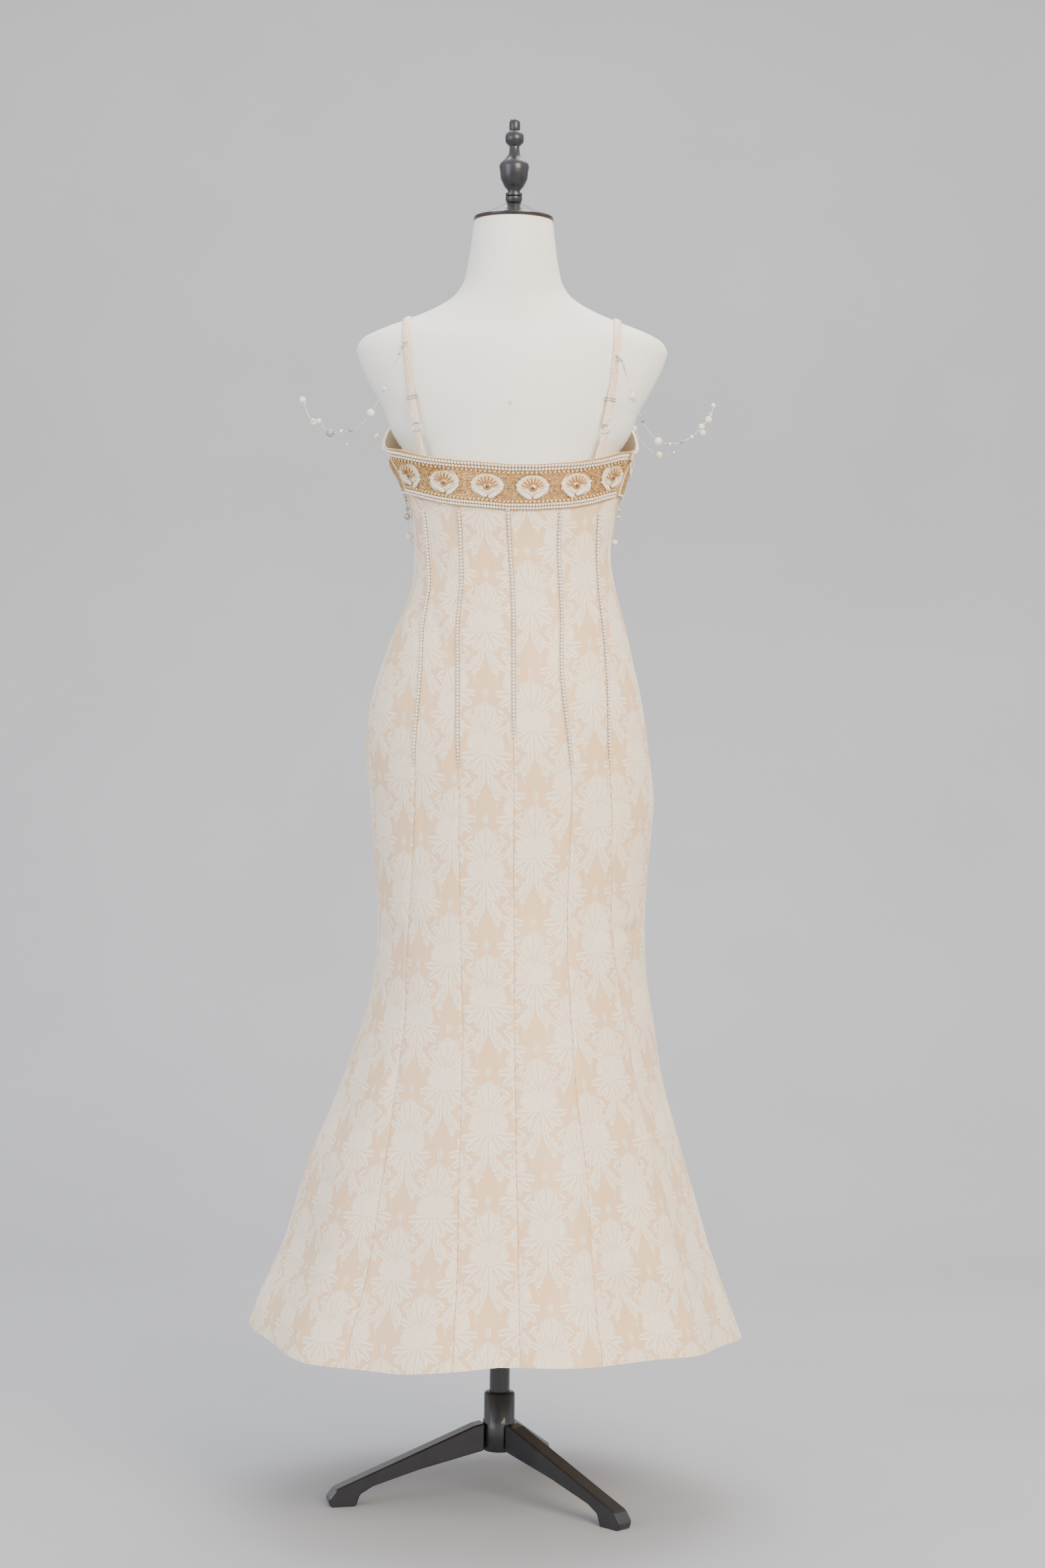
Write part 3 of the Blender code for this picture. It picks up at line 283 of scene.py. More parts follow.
# The waist strand: angle, then its drop below the band and the pearl's diameter or 0, in mm.
STRAND = (
    (-11.5, -2, 0), (-10.5, 8, 0), (-9, 15, 3), (-6, 24, 4), (0, 38, 0), (8, 50, 8), (20, 64, 0),
    (32, 75, 10), (46, 84, 0), (60, 90, 5), (76, 94, 8), (90, 96, 10), (104, 94, 8), (120, 89, 5),
    (134, 82, 0), (148, 73, 10), (160, 60, 0), (172, 48, 10), (180, 38, 0), (186, 28, 8), (190, 18, 5),
    (190.5, 8, 0), (191.5, -2, 0),
)
NYLON_RADIUS = 0.45 * MM
SPACER = 0.9 * MM
GARLAND_RING = 4 * MM
GARLAND_RING_WIRE = 0.55 * MM
CRYSTAL = 1.7 * MM
CRYSTAL_PITCH = 3.6 * MM
CRYSTAL_RUN = 0.030

# The form's arm plates and the plug in its back.
ARM_PLATE_HEIGHT = 1.352
ARM_PLATE_HALF = 0.0600
ARM_PLATE_SWEEP = 11.0
PLUG_ANGLE = -90.5
PLUG_HEIGHT = 1.336

# The stand.
POLE_RADIUS = 0.0125
POLE_WALL = 0.0025
POLE_TOP = 0.600
INNER_POLE_BOTTOM = 0.300
FORM_BOTTOM = 0.800
COLLAR_RADIUS = 0.0190
COLLAR_TOP = 0.130
HUB_BOTTOM = 0.058
HUB_RADIUS = 0.0205
NECK_TOP = 1.570
BEVEL = 0.002
COLLAR_BOTTOM = 0.097
HUB_TOP = 0.095
CLAMP_RADIUS = 0.0205
CLAMP_BELOW = 0.030
CLAMP_ABOVE = 0.008
FLANGE_RADIUS = 0.032
FLANGE_THICK = 0.006
CAP_LINE_RADIUS = 0.0490
# Profiles of the neck cap and the finial: radius and height.
CAP_HEIGHT = 0.0225
CAP_PROFILE = (
    (0.0, CAP_HEIGHT), (0.0085, 0.0220), (0.0150, 0.0195), (0.0260, 0.0140), (0.0370, 0.0092),
    (0.0455, 0.0062), (0.0488, 0.0045), (0.0488, 0.0008), (0.0480, 0.0), (0.0, 0.0),
)
FINIAL_PROFILE = (
    (0.0, 0.1040), (0.0050, 0.1025), (0.0068, 0.0985), (0.0068, 0.0910), (0.0060, 0.0885), (0.0110, 0.0840),
    (0.0117, 0.0790), (0.0110, 0.0740), (0.0060, 0.0690), (0.0068, 0.0600), (0.0120, 0.0530),
    (0.0175, 0.0480), (0.0186, 0.0440), (0.0175, 0.0385), (0.0165, 0.0290), (0.0120, 0.0200),
    (0.0076, 0.0150), (0.0076, 0.0125), (0.0104, 0.0115), (0.0104, 0.0085), (0.0090, 0.0075),
    (0.0104, 0.0065), (0.0104, 0.0035), (0.0090, 0.0), (0.0, 0.0),
)

# The room, and its lamps: name, place, what they aim at, size in metres, power in watts and colour.
ROOM_HALF = 9.0
WALL_AWAY = 3.2
WALL_TOP = 6.5
BEND_RADIUS = 1.6
LAMPS = (
    ("key", (1.9, -3.2, 2.7), (0.0, 0.0, 1.0), 2.2, 215.0, "FFEDD2"),
    ("fill", (-3.0, -2.6, 1.8), (0.0, 0.0, 0.9), 2.6, 68.0, "EEF2FF"),
    ("top", (0.2, 1.2, 3.6), (0.0, 0.3, 0.8), 2.4, 105.0, "FFFFFF"),
)
WORLD_COLOUR = "EEF0F4"
WORLD_STRENGTH = 1.6


# Surfaces


def column(table, columns, name):
    return np.array(table)[:, columns.index(name)]


def curve_through(at, where, values):
    """A cubic through the table's values, with the slope at each value the mean of its neighbours'."""
    at = np.asarray(at, float)
    slope = np.gradient(values, where)
    i = np.clip(np.searchsorted(where, at) - 1, 0, len(where) - 2)
    step = where[i + 1] - where[i]
    t = (at - where[i]) / step
    return (
        (2 * t**3 - 3 * t**2 + 1) * values[i] + (t**3 - 2 * t**2 + t) * step * slope[i]
        + (3 * t**2 - 2 * t**3) * values[i + 1] + (t**3 - t**2) * step * slope[i + 1]
    )


def edge(table):
    """A function that gives the height of an edge at an angle, by straight lines between the rows."""
    return lambda angle: np.interp(
        np.mod(np.asarray(angle, float) + 180.0, 360.0) - 180.0,
        column(table, EDGE_COLUMNS, "angle"), column(table, EDGE_COLUMNS, "z"),
    )


hem, top, band_low, band_front_top = edge(HEM), edge(TOP), edge(BAND_LOW), edge(BAND_FRONT_TOP)


def bust(angle, z, rise):
    """Rise times a bell curve of the height, times the sum of two bell curves of the angle."""
    high = np.exp(-(((z - BUST_HEIGHT) / BUST_SPREAD_Z) ** 2) / 2)
    right = np.exp(-(((angle - BUST_ANGLE) / BUST_SPREAD_DEG) ** 2) / 2)
    left = np.exp(-(((angle - (180.0 - BUST_ANGLE)) / BUST_SPREAD_DEG) ** 2) / 2)
    return rise * high * (right + left)


def flutes(angle, z):
    """Waves of the flare: two cosines of the angle, growing from the knee down with the power 1.5."""
    grow = np.clip((0.60 - z) / 0.40, 0.0, 1.0) ** 1.5
    return 0.005 * grow * (np.cos(np.radians(11.0 * angle + 70.0)) + 0.5 * np.sin(np.radians(5.0 * angle)))


def sizes_at(table, columns, z):
    """Every column of a size table at the given heights, on a cubic through its rows."""
    where = column(table, columns, "z")
    return {name: curve_through(z, where, column(table, columns, name)) for name in columns[1:]}


def body_surface(angle, z):
    """An ellipse at each height: half-width times the cosine of the angle, half-depth times its sine."""
    c, s = np.cos(np.radians(angle)), np.sin(np.radians(angle))
    size = sizes_at(BODY, BODY_COLUMNS, z)
    more = bust(angle, z, BUST_DRESS) + flutes(angle, z)
    wide = np.where(c < 0, size["left"], size["right"])
    deep = np.where(s < 0, size["back"], size["front"])
    return np.stack([(wide + more) * c, (deep + more) * s, z], axis=-1)


def form_surface(angle, z):
    """The form's ellipse at each height, with the bust added to its front."""
    c, s = np.cos(np.radians(angle)), np.sin(np.radians(angle))
    size = sizes_at(FORM, FORM_COLUMNS, z)
    more = bust(angle, z, BUST_FORM)
    deep = np.where(s < 0, size["back"], size["front"])
    return np.stack([(size["side"] + more) * c, (deep + more) * s, z], axis=-1)


def unit(vectors):
    return vectors / np.linalg.norm(vectors, axis=-1, keepdims=True)


def places_on(surface, angle, z, out=0.0, step=0.002):
    """Points moved out along the normal, with three axes there: round the body, up it, and outward."""
    angle, z = np.broadcast_arrays(np.asarray(angle, float), np.asarray(z, float))
    along = unit(surface(angle + 0.5, z) - surface(angle - 0.5, z))
    up = surface(angle, z + step) - surface(angle, z - step)
    normal = unit(np.cross(along, up))
    return surface(angle, z) + normal * np.asarray(out)[..., None], along, np.cross(normal, along), normal


def dress_point(angle, z, out=0.0):
    return places_on(body_surface, angle, z, out)[0]


def seam_angle(name, z):
    return curve_through(z, column(SEAMS, SEAM_COLUMNS, "z"), column(SEAMS, SEAM_COLUMNS, name))


def folds(points):
    """Sum over the fold table of its height times a bell curve of the distance from its line."""
    table = np.array(FOLDS) * MM
    start, end = table[:, 0:2], table[:, 2:4]
    flat = points[..., None, [0, 2]]
    way = end - start
    share = np.clip(np.sum((flat - start) * way, axis=-1) / np.sum(way**2, axis=-1), 0.0, 1.0)
    away = np.linalg.norm(flat - start - share[..., None] * way, axis=-1)
    fade = np.clip(-points[..., 1] / 0.03, 0.0, 1.0)
    return fade * np.sum(table[:, 5] * np.exp(-((away / table[:, 4]) ** 2)), axis=-1)


def sway(points):
    """Three slow sine waves of the place, each SWAY high: the cloth is never quite even."""
    x, y, z = np.moveaxis(points, -1, 0)
    return SWAY * (np.sin(31 * z + 23 * x) + np.sin(47 * z - 38 * x + 11 * y) + np.sin(19 * z + 61 * x + 1.3))


def smooth_path(points, count):
    """Points at even steps on a cubic through a short list of points."""
    points = np.asarray(points, float)
    along = np.concatenate([[0.0], np.cumsum(np.linalg.norm(np.diff(points, axis=0), axis=1))])
    at = np.linspace(0.0, along[-1], count)
    return np.stack([curve_through(at, along, points[:, k]) for k in range(3)], axis=1)


def full_turn(steps):
    """Angles in radians at even steps of one turn, without the last, which is the first again."""
    return np.arange(steps) * 2 * math.pi / steps


def upright_circle(centre, radius, steps):
    """Points of a circle in the plane of X and Z."""
    turn = full_turn(steps)
    return centre + radius * np.stack([np.cos(turn), 0 * turn, np.sin(turn)], axis=1)


def running_length(points, axis):
    """Length from the grid's first row or column to each of its points."""
    points = np.moveaxis(points, axis, 0)
    step = np.linalg.norm(np.diff(points, axis=0), axis=-1)
    return np.moveaxis(np.concatenate([np.zeros_like(step[:1]), np.cumsum(step, axis=0)]), 0, axis)


# Materials


def srgb(text):
    """The linear colour of an sRGB hex colour."""
    parts = np.array([int(text[i:i + 2], 16) for i in (0, 2, 4)]) / 255
    linear = np.where(parts <= 0.04045, parts / 12.92, ((parts + 0.055) / 1.055) ** 2.4)
    return (*linear.tolist(), 1.0)


def add(tree, kind, inputs=(), **settings):
    """Adds a node with its settings; an input is a value, a socket, or a node for its first output."""
    node = tree.nodes.new("ShaderNode" + kind)
    for key, value in settings.items():
        setattr(node, key, value)
    for place, value in inputs.items() if isinstance(inputs, dict) else enumerate(inputs):
        if isinstance(value, bpy.types.Node):
            value = value.outputs[0]
        if isinstance(value, bpy.types.NodeSocket):
            tree.links.new(value, node.inputs[place])
        else:
            node.inputs[place].default_value = value
    return node


def work_out(tree, known, steps):
    """Adds a Math node for each step (result, operation, inputs); an input names a result or is a number."""
    for result, operation, *inputs in steps:
        kind, _, clamp = operation.partition(" ")
        values = [known.get(i, i) for i in inputs]
        known[result] = add(tree, "Math", values, operation=kind, use_clamp=bool(clamp))
    return known


def start_material(name, values):
    material = bpy.data.materials.new(name)
    material.use_nodes = True
    shader = material.node_tree.nodes["Principled BSDF"]
    for socket, value in values.items():
        shader.inputs[socket].default_value = value
    return material, material.node_tree, shader


def surface_material(name, colour, other, grain, relief, **values):
    """Two colours mixed by a noise of the given grain in metres, which also gives the relief in metres."""
    values = {key.replace("_", " "): value for key, value in values.items()}
    material, tree, shader = start_material(name, values)
    place = add(tree, "TexCoord").outputs["Object"]
    noise = add(tree, "TexNoise", {"Vector": place, "Scale": 1.0 / grain, "Detail": 3.0, "Roughness": 0.6})
    share = add(tree, "Math", [noise, 3.0, -1.0], operation="MULTIPLY_ADD", use_clamp=True)
    mixed = add(tree, "MixRGB", {"Fac": share, "Color1": srgb(colour), "Color2": srgb(other)})
    bump = add(tree, "Bump", {"Distance": relief, "Height": noise})
    tree.links.new(mixed.outputs[0], shader.inputs["Base Color"])
    tree.links.new(bump.outputs[0], shader.inputs["Normal"])
    return material


def brocade_material():
    """Cream damask figure on a tan satin ground; the UV map gives the cloth's own metres.

    The plane is cut into cells of two shifted lattices along a cosine border. In a cell each leaf of the
    table covers the points where the half-width left at that length, (1 - b^2)^blunt less its teeth, is
    more than the distance across, a. Later leaves lie over earlier ones and draw their own edge.
    """
    material, tree, shader = start_material("damask brocade, cream silk figure on tan satin", {
        "Roughness": 0.55, "Sheen Weight": 0.25, "Sheen Roughness": 0.5, "Specular IOR Level": 0.35})
    uv = add(tree, "UVMap", uv_map="cloth").outputs[0]
    ragged = add(tree, "TexNoise", {"Vector": uv, "Scale": 160.0, "Detail": 2.0})
    apart = add(tree, "SeparateXYZ", [ragged.outputs["Color"]])
    parts = add(tree, "SeparateXYZ", [uv])
    half_x, half_y = REPEAT_X / 2, REPEAT_Y / 2
    known = {"u": parts.outputs["X"], "v": parts.outputs["Y"],
             "du": apart.outputs["X"], "dv": apart.outputs["Y"]}
    known = work_out(tree, known, (
        ("u0", "MULTIPLY_ADD", "u", 1000.0, -RAGGED / 2), ("u_mm", "MULTIPLY_ADD", "du", RAGGED, "u0"),
        ("v0", "MULTIPLY_ADD", "v", 1000.0, -RAGGED / 2), ("v_mm", "MULTIPLY_ADD", "dv", RAGGED, "v0"),
        ("wx", "WRAP", "u_mm", half_x, -half_x), ("wy", "WRAP", "v_mm", half_y, -half_y),
        ("ax", "ABSOLUTE", "wx"), ("phase", "MULTIPLY_ADD", "wy", math.pi / half_y, 8.0 * math.pi / half_y),
        ("wave", "COSINE", "phase"), ("limit", "MULTIPLY_ADD", "wave", 10.0, half_x / 2),
        ("far", "GREATER_THAN", "ax", "limit"), ("shift_x", "MULTIPLY", "far", half_x),
        ("x0", "SUBTRACT", "ax", "shift_x"), ("x", "ABSOLUTE", "x0"), ("sign", "SIGN", "wy"),
        ("shift_y", "MULTIPLY", "far", half_y), ("signed", "MULTIPLY", "sign", "shift_y"),
        ("y", "SUBTRACT", "wy", "signed"), ("figure", "MULTIPLY", "far", 0.0),
        ("line", "MULTIPLY", "far", 0.0),
    ))
    for x, y, turn, length, width, blunt, teeth, depth, rib in LEAVES:
        c, s = math.cos(math.radians(turn)), math.sin(math.radians(turn))
        known = work_out(tree, known, (
            ("b1", "MULTIPLY_ADD", "x", s / length, -(x * s + y * c) / length),
            ("b", "MULTIPLY_ADD", "y", c / length, "b1"),
            ("a1", "MULTIPLY_ADD", "x", c / width, -(x * c - y * s) / width),
            ("a2", "MULTIPLY_ADD", "y", -s / width, "a1"), ("a", "ABSOLUTE", "a2"),
            ("bb", "MULTIPLY", "b", "b"), ("left", "SUBTRACT clamp", 1.0, "bb"),
            ("shape", "POWER", "left", blunt), ("turns", "MULTIPLY", "b", teeth * math.pi),
            ("wave", "SINE", "turns"), ("bite", "ABSOLUTE", "wave"),
            ("kept", "MULTIPLY_ADD", "bite", -depth, 1.0),
            ("half", "MULTIPLY", "shape", "kept"), ("inside", "SUBTRACT", "half", "a"),
            ("mask", "MULTIPLY clamp", "inside", width),
            ("rim0", "MULTIPLY_ADD", "inside", -width / EDGE_LINE, 1.0),
            ("rib0", "MULTIPLY_ADD", "a", -width / RIB_LINE, rib), ("rim1", "MAXIMUM", "rim0", "rib0"),
            ("depth", "MULTIPLY", "inside", width * 2 * math.pi / ECHO_PITCH), ("echo0", "COSINE", "depth"),
            ("echo", "MULTIPLY_ADD", "echo0", 1.2, -0.55), ("rim2", "MAXIMUM", "rim1", "echo"),
            ("rim", "MULTIPLY clamp", "rim2", 1.0), ("own", "MULTIPLY", "rim", "mask"),
            ("uncovered", "SUBTRACT", 1.0, "mask"),
            ("line", "MULTIPLY_ADD", "line", "uncovered", "own"), ("figure", "MAXIMUM", "figure", "mask"),
        ))
    thread = add(tree, "TexNoise", {"Vector": uv, "Scale": 900.0, "Detail": 2.0})
    cloud = add(tree, "TexNoise", {"Vector": uv, "Scale": 14.0, "Detail": 2.0})
    known = work_out(tree, {**known, "thread": thread, "cloud": cloud}, (
        ("raised", "MULTIPLY_ADD", "line", -0.55, "figure"),
        ("height", "MULTIPLY_ADD", "thread", 0.25, "raised"),
        ("twill0", "ADD", "u_mm", "v_mm"), ("twill1", "MULTIPLY", "twill0", 2.6), ("twill", "SINE", "twill1"),
        ("line_share", "MULTIPLY clamp", "line", 0.72), ("rough", "MULTIPLY_ADD", "figure", 0.14, 0.42),
        ("dark", "MULTIPLY_ADD", "cloud", -0.10, 0.10), ("shade", "MULTIPLY_ADD", "twill", 0.02, "dark"),
    ))
    ground = add(tree, "MixRGB", {"Fac": known["shade"], "Color1": srgb("EDC89C"), "Color2": srgb("CF9E6C")})
    silk = add(tree, "MixRGB", {"Fac": known["shade"], "Color1": srgb("FBEED6"), "Color2": srgb("E8C898")})
    both = add(tree, "MixRGB", {"Fac": known["figure"], "Color1": ground, "Color2": silk})
    drawn = add(tree, "MixRGB", {"Fac": known["line_share"], "Color1": both, "Color2": srgb("D6A978")})
    bump = add(tree, "Bump", {"Strength": 0.7, "Distance": 0.5 * MM, "Height": known["height"]})
    for node, socket in ((drawn, "Base Color"), (known["rough"], "Roughness"), (bump, "Normal")):
        tree.links.new(node.outputs[0], shader.inputs[socket])
    return material


def make_materials():
    """Every finish by its short name. The hex colours were read by eye from the photo's lit parts and then
    adjusted in test renders."""
    surface = surface_material
    return {
        "brocade": brocade_material(),
        # beige satin lining, woven smooth
        "lining": surface("beige satin lining", "E6D3B6", "D8C09A", 0.9 * MM, 0.05 * MM, Roughness=0.38,
                          Sheen_Weight=0.2),
        # gold-brown silk organza that carries the beads
        "band": surface("gold bead ground", "D0A468", "A67C46", 0.8 * MM, 0.2 * MM, Roughness=0.45),
        # strap: the same brocade cut narrow, so only its cream and tan show
        "strap": surface("ruched brocade strap", "FAEEDC", "E6BF96", 2.6 * MM, 0.25 * MM, Roughness=0.5,
                         Sheen_Weight=0.25),
        # cultured pearl, cream lustre
        "pearl": surface("cream pearl", "F4EEE3", "E4D6C2", 4 * MM, 0.01 * MM, Roughness=0.22,
                         Coat_Weight=0.6, Coat_Roughness=0.08),
        # the same pearl, darker and grey: painted shade on the pearls that lie in shadow
        "shaded_pearl": surface("grey pearl, painted shade", "B9B4AC", "8F8A84", 5 * MM, 0.01 * MM, Roughness=0.2,
                              Metallic=0.35, Coat_Weight=0.6),
        # glass seed beads lined with gold
        "seed": surface("gold lined seed beads", "F0CF94", "8F5F2A", 3.5 * MM, 0.02 * MM, Roughness=0.25,
                        Metallic=0.35),
        # thread wound with gilt metal
        "gold": surface("gilt metal thread", "E2BC7C", "BE8F4C", 1.2 * MM, 0.1 * MM, Roughness=0.3,
                        Metallic=0.85),
        # petals in satin stitch of pale gold silk
        "pale_gold": surface("pale gold silk petals", "EBD3A6", "C9A264", 1.6 * MM, 0.12 * MM,
                             Roughness=0.42),
        # tan thread that shows at the seams
        "thread": surface("tan seam thread", "C99C68", "A87846", 2 * MM, 0.05 * MM, Roughness=0.6),
        # brown glass bead at each medallion's middle
        "amber": surface("amber glass bead", "6E3A14", "4A230B", 3 * MM, 0.01 * MM, Roughness=0.08,
                         Coat_Weight=1.0),
        # leaves in satin stitch of white silk
        "white": surface("white silk leaves", "F6F1E8", "E2D6C2", 1.3 * MM, 0.1 * MM, Roughness=0.5),
        # satin over a soft padding
        "cream": surface("cream satin padding", "F2E6D0", "E2CCA6", 1.5 * MM, 0.1 * MM, Roughness=0.5),
        # dull brass bullion wire that draws the medallions
        "brass": surface("brass bullion wire", "B98440", "8C5E2A", 1.5 * MM, 0.05 * MM, Roughness=0.35,
                         Metallic=0.5),
        # brown glass beads that outline the medallions
        "brown": surface("brown outline beads", "7A4E27", "5A3518", 1.5 * MM, 0.02 * MM, Roughness=0.25),
        # faceted glass, clear with smoky parts
        "crystal": surface("smoky crystal", "F4F1EC", "6F6862", 2.4 * MM, 0.01 * MM, Roughness=0.06,
                           Transmission_Weight=0.25, Coat_Weight=0.5),
        # clear nylon, whitish in bright light
        "nylon": surface("clear nylon wire", "F3F1EC", "E2DFD8", 2 * MM, 0.01 * MM, Roughness=0.2,
                         Transmission_Weight=0.3),
        # fibreglass form with matt off-white paint
        "form": surface("matt off-white form", "F6F3E9", "F1EEE4", 60 * MM, 0.02 * MM, Roughness=0.6),
        # filled joint of the form's arm plates, a little darker than the form
        "rim": surface("grey joint of the arm plate", "D9D6CE", "CBC8C0", 5 * MM, 0.02 * MM, Roughness=0.7),
        # black satin lacquer on steel and turned wood
        "lacquer": surface("black satin lacquer", "222226", "1B1B1E", 20 * MM, 0.02 * MM, Roughness=0.34,
                           Coat_Weight=0.3),
        # nickel plated wire and zinc
        "metal": surface("polished silver metal", "D9D8D6", "C9C7C4", 4 * MM, 0.01 * MM, Roughness=0.18,
                         Metallic=1.0),
        # enamel on the zip's pull
        "pull": surface("ivory enamel", "EDE6DA", "E2D9C9", 4 * MM, 0.01 * MM, Roughness=0.3,
                        Coat_Weight=0.5),
        # painted studio floor and wall
        "floor": surface("pale painted floor", "A8A9AD", "A3A4A8", 0.7, 0.2 * MM, Roughness=0.75),
    }


# Pieces


def finish_piece(piece, replaces=(), body="form"):
    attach(piece, body)
    if replaces:
        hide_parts(*replaces)
    return piece


def mesh_piece(name, points, faces, materials, which=None, uv=None, sharp=40.0):
    """An object of a list of points and faces; which gives each face's material, uv each point's place."""
    mesh = bpy.data.meshes.new(name)
    faces = np.asarray(faces)
    mesh.from_pydata(np.reshape(points, (-1, 3)).tolist(), [], faces.tolist())
    for key in materials:
        mesh.materials.append(MATERIALS[key])
    if which is not None:
        mesh.polygons.foreach_set("material_index", np.asarray(which, np.int32))
    if uv is not None:
        corners = uv.reshape(-1, 2)[faces.ravel()]
        mesh.uv_layers.new(name="cloth").data.foreach_set("uv", corners.ravel().astype(np.float32))
    mesh.shade_smooth()
    mesh.set_sharp_from_angle(angle=math.radians(sharp))
    piece = bpy.data.objects.new(name, mesh)
    bpy.context.scene.collection.objects.link(piece)
    return piece


def curve_piece(name, points, radius, material, closed=False):
    data = bpy.data.curves.new(name, "CURVE")
    data.dimensions, data.bevel_depth, data.bevel_resolution, data.use_fill_caps = "3D", radius, 3, not closed
    spline = data.splines.new("POLY")
    spline.points.add(len(points) - 1)
    spline.points.foreach_set("co", np.hstack([points, np.ones((len(points), 1))]).ravel())
    spline.use_cyclic_u = closed
    spline.use_smooth = True
    data.materials.append(MATERIALS[material])
    piece = bpy.data.objects.new(name, data)
    bpy.context.scene.collection.objects.link(piece)
    return piece


def shell(name, outer, inner, uv, materials):
    """A closed wall between two equal grids: each row runs along the outer points and back by the inner."""
    rows, cols = outer.shape[:2]
    index = np.arange(rows * 2 * cols).reshape(rows, 2 * cols)
    out, back = index[:, :cols], index[:, ::-1][:, :cols]
    following = np.roll(index, -1, axis=1)
    sides = np.stack([index[:-1], following[:-1], following[1:], index[1:]], axis=-1).reshape(-1, 4)
    low = np.stack([out[0, 1:], out[0, :-1], back[0, :-1], back[0, 1:]], axis=-1)
    high = np.stack([out[-1, :-1], out[-1, 1:], back[-1, 1:], back[-1, :-1]], axis=-1)
    side = np.tile(np.arange(2 * cols), rows - 1)
    which = np.concatenate([(side >= cols) & (side < 2 * cols - 1), np.zeros(2 * (cols - 1), bool)])
    points = np.concatenate([outer, inner[:, ::-1]], axis=1)
    return mesh_piece(
        name, points, np.concatenate([sides, low, high]), materials, which,
        np.concatenate([uv, uv[:, ::-1]], axis=1),
    )


def tube_of(name, rings, materials, uv=None):
    """A closed solid through rings of points, each end closed by a fan of quads across the ring."""
    rings = np.asarray(rings)
    count, size = rings.shape[:2]
    index = np.arange(count * size).reshape(count, size)
    following = np.roll(index, -1, axis=1)
    sides = np.stack([index[:-1], following[:-1], following[1:], index[1:]], axis=-1).reshape(-1, 4)
    k = np.arange(size // 2 - 1)
    cap = np.stack([k, k + 1, size - 2 - k, size - 1 - k], axis=-1)
    faces = np.concatenate([sides, cap[:, ::-1], cap + (count - 1) * size])
    piece = mesh_piece(name, rings, faces, materials, uv=uv)
    work = bmesh.new()
    work.from_mesh(piece.data)
    bmesh.ops.recalc_face_normals(work, faces=work.faces)
    work.to_mesh(piece.data)
    work.free()
    return piece


def turned(name, profile, material, steps=72):
    """A solid of revolution about Z through a profile of radius and height."""
    turn = full_turn(steps)
    r, z = np.array(profile)[:, :, None].transpose(1, 0, 2)
    points = np.stack([r * np.cos(turn), r * np.sin(turn), np.repeat(z, steps, 1)], axis=-1)
    index = np.arange(len(profile) * steps).reshape(len(profile), steps)
    if profile[0][0] > 0:
        index = np.concatenate([index, index[:1]])
    following = np.roll(index, -1, axis=1)
    faces = np.stack([index[:-1], following[:-1], following[1:], index[1:]], axis=-1).reshape(-1, 4)
    piece = mesh_piece(name, points, faces, [material], sharp=50.0)
    work = bmesh.new()
    work.from_mesh(piece.data)
    bmesh.ops.remove_doubles(work, verts=work.verts, dist=1e-6)
    bmesh.ops.recalc_face_normals(work, faces=work.faces)
    work.to_mesh(piece.data)
    work.free()
    return piece


def ball(detail):
    """Points and triangles of a unit sphere made from an icosahedron."""
    work = bmesh.new()
    bmesh.ops.create_icosphere(work, subdivisions=detail, radius=1.0)
    points = np.array([v.co for v in work.verts])
    faces = np.array([[v.index for v in f.verts] for f in work.faces])
    work.free()
    return points, faces


def ring_unit(thin=0.32, around=14, section=6):
    """Points and quads of a small ring of outer radius 1 that lies in its own plane."""
    a, b = np.meshgrid(full_turn(around), full_turn(section), indexing="ij")
    reach = 1 - thin + thin * np.cos(b)
    points = np.stack([reach * np.cos(a), reach * np.sin(a), np.sin(b)], axis=-1).reshape(-1, 3)
    index = np.arange(around * section).reshape(around, section)
    right, up = np.roll(index, -1, axis=0), np.roll(index, -1, axis=1)
    return points, np.stack([index, right, np.roll(right, -1, axis=1), up], axis=-1).reshape(-1, 4)


def scatter(name, solid, places, sizes, material, turn=0.0, point=0.0, sharp=180.0):
    """Copies of a unit solid as one mesh. A copy's half-sizes lie along the three axes of its place, turned
    in its plane; its width is times 1 - point * height, so that it narrows to one end."""
    centre, along, up, normal = (np.reshape(part, (-1, 3)) for part in places)
    size = np.broadcast_to(sizes, (len(centre), 3))
    turn = np.radians(np.broadcast_to(turn, len(centre)))[:, None]
    x_axis = along * np.cos(turn) - up * np.sin(turn)
    y_axis = along * np.sin(turn) + up * np.cos(turn)
    points, faces = solid
    wide = points[None, :, 0] * (1 - np.broadcast_to(point, len(centre))[:, None] * points[None, :, 1])
    made = centre[:, None] + (
        x_axis[:, None] * (wide * size[:, :1])[..., None]
        + y_axis[:, None] * (points[None, :, 1] * size[:, 1:2])[..., None]
        + normal[:, None] * (points[None, :, 2] * size[:, 2:])[..., None]
    )
    first = np.arange(len(centre))[:, None, None] * len(points)
    all_faces = (faces[None] + first).reshape(-1, faces.shape[1])
    return mesh_piece(name, made, all_faces, [material], sharp=sharp)


def upright(centres):
    """The axes X, Z and -Y for pieces that are round, so that their direction doesn't matter."""
    axes = [np.broadcast_to(axis, np.shape(centres)) for axis in ((1.0, 0, 0), (0, 0, 1.0), (0, -1.0, 0))]
    return (centres, *axes)


